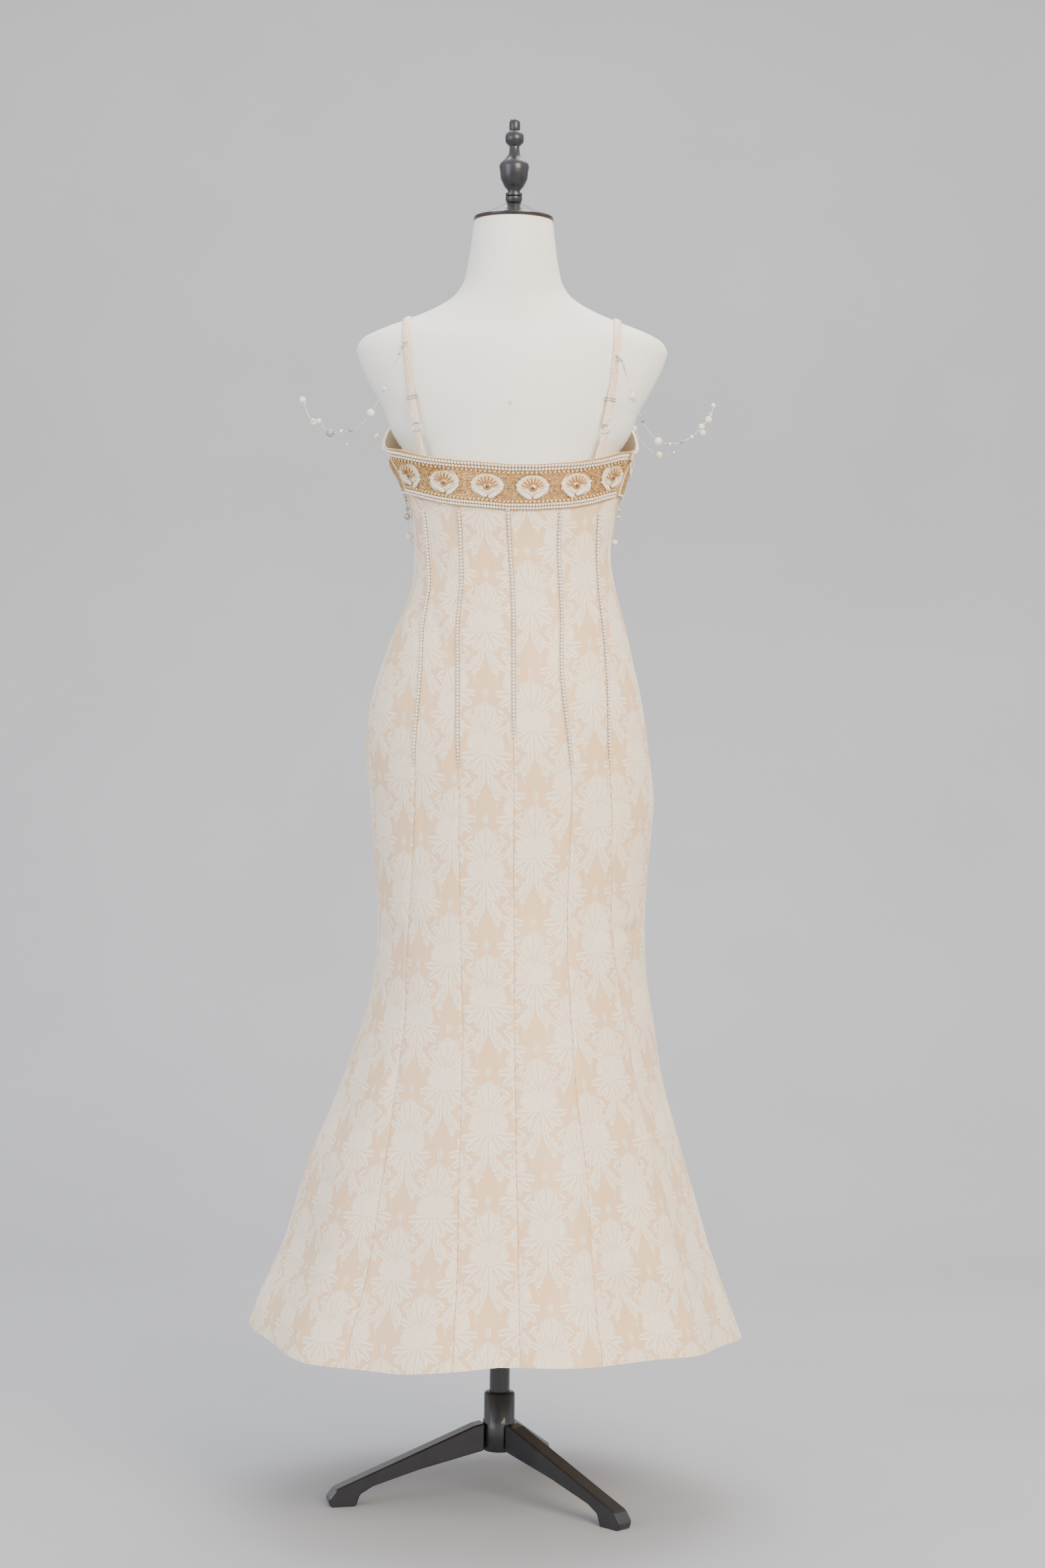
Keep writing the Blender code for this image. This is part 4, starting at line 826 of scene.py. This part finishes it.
def make_panel(name, node, angle, z, side, anchor, pucker=True):
    """A panel on the body surface: folds, seam pucker and sway move its outer side, and its inner follows."""
    base, _, _, normal = places_on(body_surface, angle, z)
    across, along = running_length(base, 1), running_length(base, 0)
    middle = angle.shape[1] // 2
    edge_distance = np.minimum(side, 1 - side) * across[:, -1:]
    calm = np.clip((1.185 - z) / 0.03, 0.0, 1.0)
    out = (folds(base) + sway(base)) * calm * np.clip(edge_distance / 0.012, 0.15, 1.0)
    if pucker:
        out = out - PUCKER_DEPTH * np.exp(-((edge_distance / PUCKER_WIDTH) ** 2))
        ripple = np.sin(2 * math.pi * along / RIPPLE_PITCH + 5 * np.sin(9 * z))
        out = out + calm * RIPPLE * ripple * np.exp(-((edge_distance / (4 * PUCKER_WIDTH)) ** 2))
    outer = base + normal * out[..., None]
    grain = np.repeat(along[:, middle:middle + 1], angle.shape[1], axis=1)
    start = np.interp(anchor[1], z[:, middle], grain[:, middle])
    uv = np.stack([across - across[:, middle:middle + 1] - anchor[0], grain - start], axis=-1)
    piece = shell(name, outer, outer - normal * CLOTH, uv, ("brocade", "lining"))
    finish_piece(piece, [node])


def make_gore(node, first, last, low, high, across, rows):
    """One long panel: its angle goes evenly from one seam to the other, its height from hem to top edge."""
    side = np.linspace(0.0, 1.0, across + 1)[None, :]
    share = np.linspace(0.0, 1.0, rows + 1)[:, None]
    low_angle = first(HEM_LEVEL) * (1 - side) + last(HEM_LEVEL) * side
    high_angle = first(TOP_LEVEL) * (1 - side) + last(TOP_LEVEL) * side
    z = low(low_angle) * (1 - share) + high(high_angle) * share
    gap = np.degrees(SEAM_GAP / 2 / np.linalg.norm(body_surface(-90.0 + 0 * z, z)[..., :2], axis=-1))
    angle = (first(z) + gap) * (1 - side) + (last(z) - gap) * side
    anchor = MEDALLION_AT.get(node, MEDALLION_AT["front_centre"])
    make_panel(node + "_cloth", node, angle, z, side, anchor)


def make_gores():
    """The six back gores between their seams, and the five front gores up to behind the band."""
    def constant(angle):
        return lambda z: 0.0 * z + angle

    def behind_band(angle):
        return band_front_top(angle) - FRONT_TUCK

    seams = [lambda z, n=name: seam_angle(n, z) for name in SEAM_COLUMNS[1:]]
    edges = [constant(SIDE_LEFT), *seams, constant(SIDE_RIGHT)]
    names = ("side_left", "mid_left", "centre_left", "centre_right", "mid_right", "side_right")
    for name, first, last in zip(names, edges[:-1], edges[1:]):
        make_gore(f"back_{name}", first, last, hem, top, 26, 200)
    names = ("side_right", "mid_right", "centre", "mid_left", "side_left")
    for name, first, last in zip(names, FRONT_SEAMS[:-1], FRONT_SEAMS[1:]):
        make_gore(f"front_{name}", constant(first), constant(last), hem, behind_band, 24, 150)


def make_cups():
    """Both cups from behind the band up to the top edge, with a row of pearls on the edge at the arm."""
    share = np.linspace(0.0, 1.0, 37)[:, None]
    side = np.linspace(0.0, 1.0, 61)[None, :]
    for word, first, last in (("right", SIDE_RIGHT, 90.0), ("left", 90.0, 360 + SIDE_LEFT)):
        angle = (first + CUP_GAP) * (1 - side) + (last - CUP_GAP) * side + 0 * share
        z = (band_front_top(angle) - CUP_TUCK) * (1 - share) + top(angle) * share
        start, stop = (first + 4, first + 46) if word == "right" else (last - 46, last - 4)
        at = np.linspace(start, stop, 30)
        places = places_on(body_surface, at, top(at) - 2 * MM, 1.6 * MM)
        beads = finish_piece(scatter(f"cup_pearls_{word}", ball(2), places, CUP_PEARL, "pearl"))
        make_panel(f"cup_{word}_cloth", f"cup_{word}", angle, z, side + 0 * share, MEDALLION_AT["cup"],
                   pucker=False)


def make_form():
    """The form's body as a fine grid on its surface, closed above and below, and the arm plates' joints."""
    where = column(FORM, FORM_COLUMNS, "z")
    z = np.concatenate([np.linspace(a, b, 9)[:-1] for a, b in zip(where[:-1], where[1:])] + [where[-1:]])
    angle = np.arange(160) * 360 / 160 - 180.0
    grid = form_surface(angle[None, :] + 0 * z[:, None], z[:, None] + 0 * angle[None, :])
    form = finish_piece(tube_of("form_shell", grid, ["form"]), ["torso"])
    t = np.linspace(0, 2 * math.pi, 90, endpoint=False)
    for word, middle in (("left", 180.0), ("right", 0.0)):
        height = ARM_PLATE_HEIGHT + ARM_PLATE_HALF * np.sin(t)
        sweep = ARM_PLATE_SWEEP * np.cos(t) * (1 if word == "right" else -1)
        loop = form_surface(middle + sweep, height)
        finish_piece(curve_piece(f"arm_plate_joint_{word}", loop, 0.5 * MM, "rim", closed=True))
    spot = places_on(form_surface, np.array([PLUG_ANGLE]), np.array([PLUG_HEIGHT]), -0.4 * MM)
    finish_piece(scatter("back_plug", ball(3), spot, (3.2 * MM, 3.2 * MM, 0.9 * MM), "rim"))
    return form


def make_stand():
    """The turned parts of stand and form, each a profile of radius and height, and the line on the cap."""
    outer, bore = POLE_RADIUS, POLE_RADIUS - POLE_WALL
    seat, inner = outer + TOUCH, bore - TOUCH
    rim = NECK_TOP + TOUCH
    foot = rim + CAP_HEIGHT + TOUCH
    clamp_foot, clamp_head = POLE_TOP - CLAMP_BELOW, POLE_TOP + CLAMP_ABOVE
    pieces = (
        ("hub", "stand", (
            (seat, HUB_BOTTOM), (seat, COLLAR_TOP), (COLLAR_RADIUS - BEVEL, COLLAR_TOP),
            (COLLAR_RADIUS, COLLAR_TOP - BEVEL), (COLLAR_RADIUS, COLLAR_BOTTOM), (HUB_RADIUS, HUB_TOP),
            (HUB_RADIUS, HUB_BOTTOM + BEVEL), (HUB_RADIUS - BEVEL, HUB_BOTTOM))),
        ("pole_lower", "stand", (
            (0.0, HUB_BOTTOM + 0.010), (bore, HUB_BOTTOM + 0.010), (bore, POLE_TOP),
            (outer, POLE_TOP), (outer, HUB_BOTTOM + BEVEL), (0.0, HUB_BOTTOM + BEVEL))),
        ("pole_clamp", "stand", (
            (seat, clamp_foot), (seat, POLE_TOP + TOUCH), (inner + TOUCH, POLE_TOP + TOUCH),
            (inner + TOUCH, clamp_head), (CLAMP_RADIUS - BEVEL, clamp_head),
            (CLAMP_RADIUS, POLE_TOP + 0.005), (CLAMP_RADIUS, POLE_TOP - 0.027),
            (CLAMP_RADIUS - BEVEL, clamp_foot))),
        ("pole_upper", "form", (
            (0.0, FORM_BOTTOM - TOUCH), (FLANGE_RADIUS, FORM_BOTTOM - TOUCH),
            (FLANGE_RADIUS, FORM_BOTTOM - FLANGE_THICK), (inner, FORM_BOTTOM - 2 * FLANGE_THICK),
            (inner, INNER_POLE_BOTTOM), (0.0, INNER_POLE_BOTTOM))),
        ("neck_cap", "form", tuple((r, rim + z) for r, z in CAP_PROFILE)),
        ("finial", "form", tuple((r, foot + z) for r, z in FINIAL_PROFILE)),
    )
    for node, body, profile in pieces:
        finish_piece(turned(node + "_turned", profile, "lacquer"), [node], body)
    turn = np.linspace(0, 2 * math.pi, 96, endpoint=False)
    ring = np.stack([CAP_LINE_RADIUS * np.cos(turn), CAP_LINE_RADIUS * np.sin(turn),
                     np.full(96, rim + 0.0002)], axis=1)
    finish_piece(curve_piece("cap_line", ring, 0.35 * MM, "brown", closed=True))


def band_places(s, h, out):
    """Places on the back band: s runs round the body from its middle, h up from its mid-line, in metres."""
    angle = np.linspace(SIDE_LEFT + 0.2, SIDE_RIGHT - 0.2, 800)
    mid = (band_low(angle) + top(angle)) / 2
    along = running_length(dress_point(angle, mid, BAND_BASE), 0)
    along -= np.interp(-90.0, angle, along)
    at = np.interp(s, along, angle)
    return at, places_on(body_surface, at, (band_low(at) + top(at)) / 2 + h, out), (along[0], along[-1])


def clear_of_zip(angle):
    """True where a bead leaves room for the zip's slider at the band's right end."""
    return angle < ZIP_CLEAR_ANGLE


def make_back_band():
    """The back band's cloth with its rows of pearls and rings, its seed beads and its six medallions."""
    pieces = []
    _, _, (low, high) = band_places(np.zeros(1), 0.0, 0.0)
    s = np.arange(low + 0.0021, high - 0.002, 2 * BAND_PEARL + 0.1 * MM)
    grid = [np.stack([s, np.full_like(s, h * MM)], axis=1) for h in PEARL_ROWS]
    s, h = np.concatenate(grid).T
    at, places, _ = band_places(s, h, BAND_CLEAR + 1.2 * MM + 0.8 * BAND_PEARL)
    keep = clear_of_zip(at)
    pieces.append(scatter("band_pearls", ball(2), [part[keep] for part in places], BAND_PEARL, "pearl"))
    s = np.arange(low + 0.004, high - 0.003, RING_PITCH)
    s, h = np.concatenate([np.stack([s, np.full_like(s, r * MM)], axis=1) for r in RING_ROWS]).T
    at, places, _ = band_places(s, h, 2.9 * MM)
    keep = clear_of_zip(at)
    places = [part[keep] for part in places]
    pieces.append(scatter("band_rings", ring_unit(), places, (2.5 * MM, 2.1 * MM, 0.8 * MM), "gold"))
    pieces.append(scatter("band_ring_beads", ball(2), places, (1.1 * MM, 1.0 * MM, 1.3 * MM), "white"))
    across, up = np.meshgrid(np.arange(low + 0.002, high - 0.002, SEED_PITCH),
                             np.arange(-SEED_HALF_HEIGHT, SEED_HALF_HEIGHT, SEED_PITCH * 0.87), indexing="ij")
    across = across + (np.round(up / SEED_PITCH / 0.87).astype(int) % 2) * SEED_PITCH / 2
    jitter = np.random.default_rng(7).normal(0, 0.18 * MM, (2, across.size))
    s, h = across.ravel() + jitter[0], up.ravel() + jitter[1]
    room_x, room_y = MEDALLION_ROOM
    from_middle = np.min([np.hypot((s - k * MEDALLION_PITCH) / room_x, h / room_y) for k in MEDALLIONS], axis=0)
    at, places, _ = band_places(s, h, 2.6 * MM)
    keep = clear_of_zip(at) & (from_middle > 0.94)
    places = [part[keep] for part in places]
    pieces.append(scatter("band_seeds", ball(1), places, SEED, "seed", sharp=20.0))
    rows = np.array([row[:-1] for row in PETALS]) * 1.0
    kinds = np.array([row[-1] for row in PETALS])
    for kind in sorted(set(kinds)):
        x, y, turn, length, width, tall, lift, point = rows[kinds == kind].T
        s = (np.array(MEDALLIONS)[:, None] * MEDALLION_PITCH + x * MM).ravel()
        count = len(MEDALLIONS)
        _, places, _ = band_places(s, np.tile(y * MM, count), np.tile(2.1 * MM + lift * MM, count))
        size = np.tile(np.stack([width, length, tall], axis=1) * MM, (count, 1))
        turn, point = np.tile(turn, count), np.tile(point, count)
        pieces.append(scatter(f"band_{kind}", ball(3), places, size, kind, turn, point))
    ring = full_turn(OUTLINE_BEADS)
    s = (np.array(MEDALLIONS)[:, None] * MEDALLION_PITCH + OUTLINE_HALF[0] * np.cos(ring)).ravel()
    _, places, _ = band_places(s, np.tile(OUTLINE_HALF[1] * np.sin(ring), len(MEDALLIONS)), 2.9 * MM)
    pieces.append(scatter("band_outlines", ball(1), places, OUTLINE_BEAD, "brown", sharp=20.0))
    for word, at in (("left", SIDE_LEFT + 0.8), ("right", SIDE_RIGHT - 0.9)):
        height = np.linspace(band_low(at) + 1 * MM, top(at) - 1 * MM, 24)
        line = dress_point(np.full(24, at), height, 3.0 * MM)
        pieces.append(curve_piece(f"band_piping_{word}", line, 1.1 * MM, "cream"))
    for piece in pieces:
        finish_piece(piece)
    angle = np.linspace(SIDE_LEFT + 0.2, SIDE_RIGHT - 0.2, 160)[None, :] + np.zeros((13, 1))
    z = band_low(angle) + (top(angle) - band_low(angle)) * np.linspace(0, 1, 13)[:, None]
    make_band("band_back_cloth", "band_back", angle, z, BAND_CLEAR, BAND_CLEAR + 1.3 * MM)


def make_band(name, node, angle, z, inner, outer):
    """The band's cloth between two distances from the dress."""
    outside, inside = dress_point(angle, z, outer), dress_point(angle, z, inner)
    uv = np.stack([running_length(outside, 1), running_length(outside, 0)], axis=-1)
    band = finish_piece(shell(name, outside, inside, uv, ["band", "lining"]), [node])


def make_front_band():
    """The plain run round the front: a row of pearls on each edge and seed beads between them."""
    angle = np.linspace(SIDE_RIGHT + 0.2, 360 + SIDE_LEFT - 0.2, 900)
    pieces = []
    for word, height in (("low", band_low(angle) + 2 * MM), ("top", band_front_top(angle) - 2 * MM)):
        along = running_length(dress_point(angle, height, BAND_BASE), 0)
        at = np.interp(np.arange(0.002, along[-1] - 0.002, FRONT_PEARL_PITCH), along, angle)
        places = places_on(body_surface, at, np.interp(at, angle, height), FRONT_CLEAR + 2.0 * MM)
        pieces.append(scatter(f"front_band_pearls_{word}", ball(2), places, FRONT_PEARL, "pearl"))
    middle = (band_low(angle) + band_front_top(angle)) / 2
    along = running_length(dress_point(angle, middle, BAND_BASE), 0)
    steps = np.arange(0.003, along[-1] - 0.003, FRONT_SEED_PITCH)
    share = np.linspace(0.16, 0.84, 12)
    s, share = (part.ravel() for part in np.meshgrid(steps, share, indexing="ij"))
    at = np.interp(s, along, angle)
    height = band_low(at) + (band_front_top(at) - band_low(at)) * share
    places = places_on(body_surface, at, height, FRONT_CLEAR + 1.2 * MM)
    pieces.append(scatter("front_band_seeds", ball(1), places, FRONT_SEED, "seed", sharp=20.0))
    for piece in pieces:
        finish_piece(piece)
    angle = np.linspace(SIDE_RIGHT + 0.2, 360 + SIDE_LEFT - 0.2, 180)[None, :] + np.zeros((9, 1))
    z = band_low(angle) + (band_front_top(angle) - band_low(angle)) * np.linspace(0, 1, 9)[:, None]
    make_band("band_front_cloth", "band_front", angle, z, FRONT_CLEAR, FRONT_CLEAR + 0.9 * MM)


def make_seam_trims():
    """On each back seam pearls between two fine cream cords, from the band down to the hip, and below them
    a line of tan thread down to the hem."""
    for name, low in SEAM_PEARL_END.items():
        z = np.linspace(low, SEAM_PEARL_TOP, 400)
        angle = seam_angle(name, z)
        along = running_length(dress_point(angle, z), 0)
        at = np.interp(np.arange(0.0, along[-1] - 0.014, SEAM_PEARL_PITCH), along, z)
        places = places_on(body_surface, seam_angle(name, at), at, SEAM_PEARL * 0.75)
        grow = np.clip(0.55 + (at - low) / 0.05, 0.0, 1.0)[:, None]
        pearls = scatter(f"seam_pearls_{name}", ball(2), places, SEAM_PEARL * grow, "pearl")
        finish_piece(pearls)
        low_z = np.linspace(float(hem(seam_angle(name, HEM_LEVEL))) + 2 * MM, low, 160)
        line = dress_point(seam_angle(name, low_z), low_z, -PUCKER_DEPTH - 0.2 * MM)
        finish_piece(curve_piece(f"seam_line_{name}", line, SEAM_THREAD, "thread"))
        centre, across, _, _ = places_on(body_surface, angle[::6], z[::6], 0.25 * MM)
        keep = z[::6] < SEAM_CORD_TOP
        for word, way in (("left", -1), ("right", 1)):
            line = (centre + across * CHANNEL_HALF * way)[keep]
            finish_piece(curve_piece(f"seam_cord_{name}_{word}", line, SEAM_CORD, "cream"))


def shoulder_height(x):
    """Height of the shoulder line at a distance from the middle plane."""
    z, side = column(FORM, FORM_COLUMNS, "z"), column(FORM, FORM_COLUMNS, "side")
    high = z > 1.413
    fine = np.linspace(1.414, 1.50, 800)
    return float(np.interp(-x, -curve_through(fine, z[high], side[high]), fine))


def strap_line(out):
    """Middle line and normals of the right strap: straight up from its ring, over the shoulder on the
    form's surface, and straight down to the front cup."""
    points, normals = [], []
    ways = np.linspace(-1.0, 1.0, STRAP_STEPS)
    places = np.interp(ways, column(STRAP, STRAP_COLUMNS, "way"), column(STRAP, STRAP_COLUMNS, "x"))
    for t, x in zip(ways, places):
        z = shoulder_height(x) - (STRAP_DROP_BACK if t < 0 else STRAP_DROP_FRONT) * t * t
        wide = float(curve_through(z, column(FORM, FORM_COLUMNS, "z"), column(FORM, FORM_COLUMNS, "side")))
        angle = math.degrees(math.acos(min(1.0, x / wide))) * (-1 if t < 0 else 1)
        point, _, _, normal = places_on(form_surface, angle, z, out, 0.0005)
        points.append(point)
        normals.append(normal)
    touch, touch_normal = points[0], normals[0]
    start = np.array(RING_AT_BACK) + (0.0004, -0.0004, 0.0062)
    flat = unit(np.cross(touch - start, (1.0, 0.25, 0.0)))
    flat = -flat if flat[1] > 0 else flat
    points = [start + (touch - start) * t for t in FREE_STRETCH] + points
    normals = [flat * (1 - t) + touch_normal * t for t in FREE_STRETCH] + normals
    cup_top = top(CUP_ANGLE)
    end = dress_point(CUP_ANGLE, cup_top + STRAP_END, -CLOTH / 2)
    end_normal = unit(dress_point(CUP_ANGLE, cup_top, 0.001) - dress_point(CUP_ANGLE, cup_top, 0.0))
    last, last_normal = points[-1], normals[-1]
    points += [last + (end - last) * t for t in (0.35, 0.7, 1.0)]
    normals += [last_normal * (1 - t) + end_normal * t for t in (0.35, 0.7, 1.0)]
    points.append(dress_point(CUP_ANGLE, cup_top - STRAP_SEWN, -CLOTH - 1.6 * MM))
    normals.append(end_normal)
    points, normals = np.array(points), np.array(normals)
    tangent = unit(np.gradient(points, axis=0))
    return points, unit(normals - tangent * np.sum(normals * tangent, axis=1, keepdims=True))


def ruched_strap(name, points, normals, side, node, squeeze=None):
    """A soft ribbon: its flat oval section swells and narrows with a sine of the length, which ruches it."""
    length = float(np.linalg.norm(np.diff(points, axis=0), axis=1).sum())
    count = max(24, int(length / (RUCHE_PITCH / 8)))
    line = smooth_path(points, count)
    known = np.concatenate([[0.0], np.cumsum(np.linalg.norm(np.diff(points, axis=0), axis=1))])
    at = np.linspace(0, length, count)
    normal = unit(np.stack([np.interp(at, known, normals[:, k]) for k in range(3)], axis=1))
    across = unit(np.cross(unit(np.gradient(line, axis=0)), normal))
    turn = full_turn(20)
    wave = np.sin(2 * math.pi * at / RUCHE_PITCH + 1.7 * np.sin(at / 0.011))[:, None]
    wide = STRAP_WIDTH / 2 + 0.35 * MM * wave
    if squeeze is not None:
        wide = wide * (1 - 0.16 * np.exp(-(((at[:, None] - squeeze) / 0.0022) ** 2)))
    swell = np.where(np.sin(turn) > 0, 0.55 + 0.45 * np.abs(wave) * np.cos(3 * turn + 2 * wave) ** 2, 0.0)
    high = np.sin(turn) * STRAP_THICK / 2 + swell * np.sin(turn) * 0.9 * MM
    flat = np.sign(np.cos(turn)) * np.abs(np.cos(turn)) ** 0.6
    rings = line[:, None] + across[:, None] * (wide * flat)[..., None]
    rings = rings + normal[:, None] * (high + 0 * wave)[..., None]
    uv = np.stack([wide * flat, np.repeat(at[:, None], 20, axis=1)], axis=-1)
    piece = tube_of(name, rings * (side, 1.0, 1.0), ["strap"], uv)
    finish_piece(piece, [node])


def make_straps():
    """On each side the strap, its doubled end, the ring, the slider's two bars and the tab inside the band."""
    points, normals = strap_line(STRAP_CLEAR + STRAP_THICK / 2)
    ring = np.array(RING_AT_BACK)
    slider = points[SLIDER_AT] - (points[SLIDER_AT] - points[0]) * 0.04
    along = unit(slider - points[0])
    across = np.cross(along, normals[SLIDER_AT])
    turn = full_turn(36)
    corner = np.stack([np.sign(np.cos(turn)) * np.abs(np.cos(turn)) ** 0.35,
                       np.sign(np.sin(turn)) * np.abs(np.sin(turn)) ** 0.35], axis=1)
    squeeze = float(np.linalg.norm(slider - points[0]))
    count = SLIDER_AT + 1
    doubled = (points + normals * (STRAP_THICK + FOLD_CLEAR))[:count]
    for side, word in ((1, "right"), (-1, "left")):
        mirror = np.array((side, 1.0, 1.0))
        strap, fold, tab = f"strap_{word}", f"strap_fold_{word}", f"strap_tab_{word}"
        ruched_strap(f"{strap}_cloth", points, normals, side, strap, squeeze)
        ruched_strap(f"{fold}_cloth", doubled, normals[:count], side, fold)
        circle = upright_circle(ring, RING_RADIUS, 36) * mirror
        finish_piece(curve_piece(f"ring_{word}", circle, RING_WIRE, "metal", closed=True),
                     [f"strap_ring_{word}"])
        for number, shift, replaces in ((1, -1.5 * MM, [f"strap_slider_{word}"]), (2, 1.5 * MM, [])):
            middle = slider + along * shift + normals[SLIDER_AT] * (STRAP_THICK / 2 + FOLD_CLEAR / 2)
            wide = across * corner[:, :1] * (STRAP_WIDTH / 2 + 1.5 * MM)
            loop = (middle + wide + normals[SLIDER_AT] * corner[:, 1:] * 3.1 * MM) * mirror
            bar = curve_piece(f"slider_{word}_{number}", loop, SLIDER_WIRE, "metal", closed=True)
            finish_piece(bar, replaces)
        at = TAB_ANGLE if side > 0 else -180.0 - TAB_ANGLE
        within = -CLOTH - TAB_CLEAR - STRAP_THICK / 2
        inner, edge_point = dress_point(at, top(at) - 0.012, within), dress_point(at, top(at) + 0.001, within)
        end = (ring + (-0.0004, 0.0006, -0.0064)) * mirror
        line = np.array([inner, edge_point, (edge_point + end) / 2, end])
        lean = unit(dress_point(at, top(at) - 0.006, 0.001) - dress_point(at, top(at) - 0.006, 0.0))
        ruched_strap(f"{tab}_cloth", line * mirror, np.tile(lean * mirror, (4, 1)), side, tab)


def make_strung(name, node, places, pearls, grey, ring=0.0):
    """A nylon wire with its pearls, each on the wire's nearest point, gilt beads beside them, small crystals
    at its ends, and a ring of the given radius at its start."""
    path = smooth_path(places, 400)
    reach = running_length(path, 0)
    at = np.array([np.argmin(np.linalg.norm(path - p, axis=1)) for p in places])
    has = np.asarray(pearls) > 0
    # the pearls numbered in grey get the darker grey pearl finish: painted shade
    dark = np.isin(np.arange(has.sum()), grey)
    centre, radius = path[at[has]], np.asarray(pearls)[has] / 2
    pieces = [
        scatter(f"{name}_pearls", ball(3), upright(centre[~dark]), radius[~dark][:, None], "pearl"),
        scatter(f"{name}_shaded_pearls", ball(3), upright(centre[dark]), radius[dark][:, None], "shaded_pearl"),
    ]
    start = np.arange(0.003, CRYSTAL_RUN, CRYSTAL_PITCH)
    ends = np.concatenate([start, reach[-1] - start])
    beside = np.concatenate([reach[at[has]] + radius + SPACER, reach[at[has]] - radius - SPACER])
    clear = np.min(np.abs(ends[:, None] - reach[at[has]]) - radius, axis=1) > CRYSTAL
    beads = (("crystals", 1, ends[clear], CRYSTAL, "crystal"), ("spacers", 2, beside, SPACER, "gold"))
    for word, detail, where, size, material in beads:
        spots = np.stack([np.interp(where, reach, path[:, k]) for k in range(3)], axis=1)
        pieces.append(scatter(f"{name}_{word}", ball(detail), upright(spots), size, material, sharp=20.0))
    if ring:
        circle = upright_circle(path[0] + np.array((0.0, -0.8 * MM, -ring)), ring, 30)
        pieces.append(curve_piece(f"{name}_ring", circle, GARLAND_RING_WIRE, "metal", closed=True))
    for piece in pieces:
        finish_piece(piece)
    wire = finish_piece(curve_piece(f"{name}_wire", path, NYLON_RADIUS, "nylon"), [node])
    print(f"cord {name}: {reach[-1] * 1000:.0f} mm")


def make_garlands():
    """The garland on each side, from the back of its strap to the front, and the strand across the waist."""
    points, normals = strap_line(STRAP_CLEAR + STRAP_THICK / 2)
    touch = points + normals * (STRAP_THICK / 2 + TOUCH + WIRE_RADIUS)
    # the pearls numbered here are painted darker grey as shade
    for word, side, grey in (("left", -1, (4, 6)), ("right", 1, (3, 6))):
        table = np.array(GARLAND[word], float)
        ends = []
        for height, back in zip(GARLAND_ENDS[word], (True, False)):
            here = (points[:, 1] < 0) == back
            nearest = np.argmin(np.abs(points[here][:, 2] - height))
            ends.append(touch[here][nearest] * (side, 1, 1))
        places = np.concatenate([[ends[0]], table[:, :3] * MM, [ends[1]]])
        pearls = np.concatenate([[0], table[:, 3] * MM, [0]])
        make_strung(f"garland_{word}_made", f"garland_{word}", places, pearls, grey, GARLAND_RING)
    angle, drop, pearl = np.array(STRAND, float).T
    out = np.maximum(pearl * MM / 2, 0.0030) + STRAND_CLEAR
    out[[0, -1]] = BAND_BASE + TOUCH + WIRE_RADIUS
    places = dress_point(angle, band_low(angle) - drop * MM, out)
    # pearls 11 and 12 of the strand are painted darker grey as shade
    make_strung("strand_made", "waist_strand", places, pearl * MM, (11, 12))


# Stage


def make_camera():
    camera = bpy.data.objects.new("camera", bpy.data.cameras.new("camera"))
    bpy.context.scene.collection.objects.link(camera)
    camera.data.sensor_fit = "VERTICAL"
    camera.data.sensor_height = SENSOR
    camera.data.lens = SENSOR * FOCAL_PX / PHOTO_HEIGHT_PX
    turn = Matrix.Rotation(math.radians(90 - TILT_DOWN), 4, "X") @ Matrix.Rotation(math.radians(LEAN), 4, "Z")
    camera.matrix_world = Matrix.Translation(CAMERA_PLACE) @ turn
    bpy.context.scene.camera = camera


def make_room():
    """A floor that bends up into a wall behind, as one sheet, and three large soft lamps."""
    bend = np.linspace(0, math.pi / 2, 24)
    straight = WALL_AWAY - BEND_RADIUS
    y = np.concatenate([[-ROOM_HALF], straight + BEND_RADIUS * np.sin(bend), [WALL_AWAY]])
    z = np.concatenate([[0.0], BEND_RADIUS - BEND_RADIUS * np.cos(bend), [WALL_TOP]])
    x = np.linspace(-ROOM_HALF, ROOM_HALF, 3)
    points = np.stack(np.broadcast_arrays(x[None, :], y[:, None], z[:, None]), axis=-1)
    index = np.arange(points.size // 3).reshape(len(y), len(x))
    faces = np.stack([index[:-1, :-1], index[:-1, 1:], index[1:, 1:], index[1:, :-1]], axis=-1).reshape(-1, 4)
    floor = mesh_piece("floor", points, faces, ["floor"])
    for name, place, aim, size, power, colour in LAMPS:
        data = bpy.data.lights.new(name, "AREA")
        data.size, data.energy, data.color = size, power, srgb(colour)[:3]
        lamp = bpy.data.objects.new(name, data)
        bpy.context.scene.collection.objects.link(lamp)
        away = np.array(place) - aim
        side = unit(np.cross((0.0, 0.0, 1.0), away))
        lamp.matrix_world = Matrix(np.vstack([
            np.column_stack([side, unit(np.cross(away, side)), unit(away), place]), (0, 0, 0, 1)]).tolist())
    world = bpy.data.worlds.new("studio")
    world.use_nodes = True
    background = world.node_tree.nodes["Background"]
    background.inputs["Color"].default_value = srgb(WORLD_COLOUR)
    background.inputs["Strength"].default_value = WORLD_STRENGTH
    bpy.context.scene.world = world


def paint_cad_nodes():
    """The CAD nodes that stay shown get their finish."""
    finishes = {"leg_1": "lacquer", "leg_2": "lacquer", "leg_3": "lacquer", "zip_slider": "metal",
                "zip_pull": "pull"}
    for node, key in finishes.items():
        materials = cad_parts[node].data.materials
        materials.clear()
        materials.append(MATERIALS[key])


MATERIALS = make_materials()
make_camera()
make_garlands()
form_piece = make_form()
make_stand()
make_gores()
make_cups()
make_back_band()
make_front_band()
make_seam_trims()
make_straps()
paint_cad_nodes()
make_room()
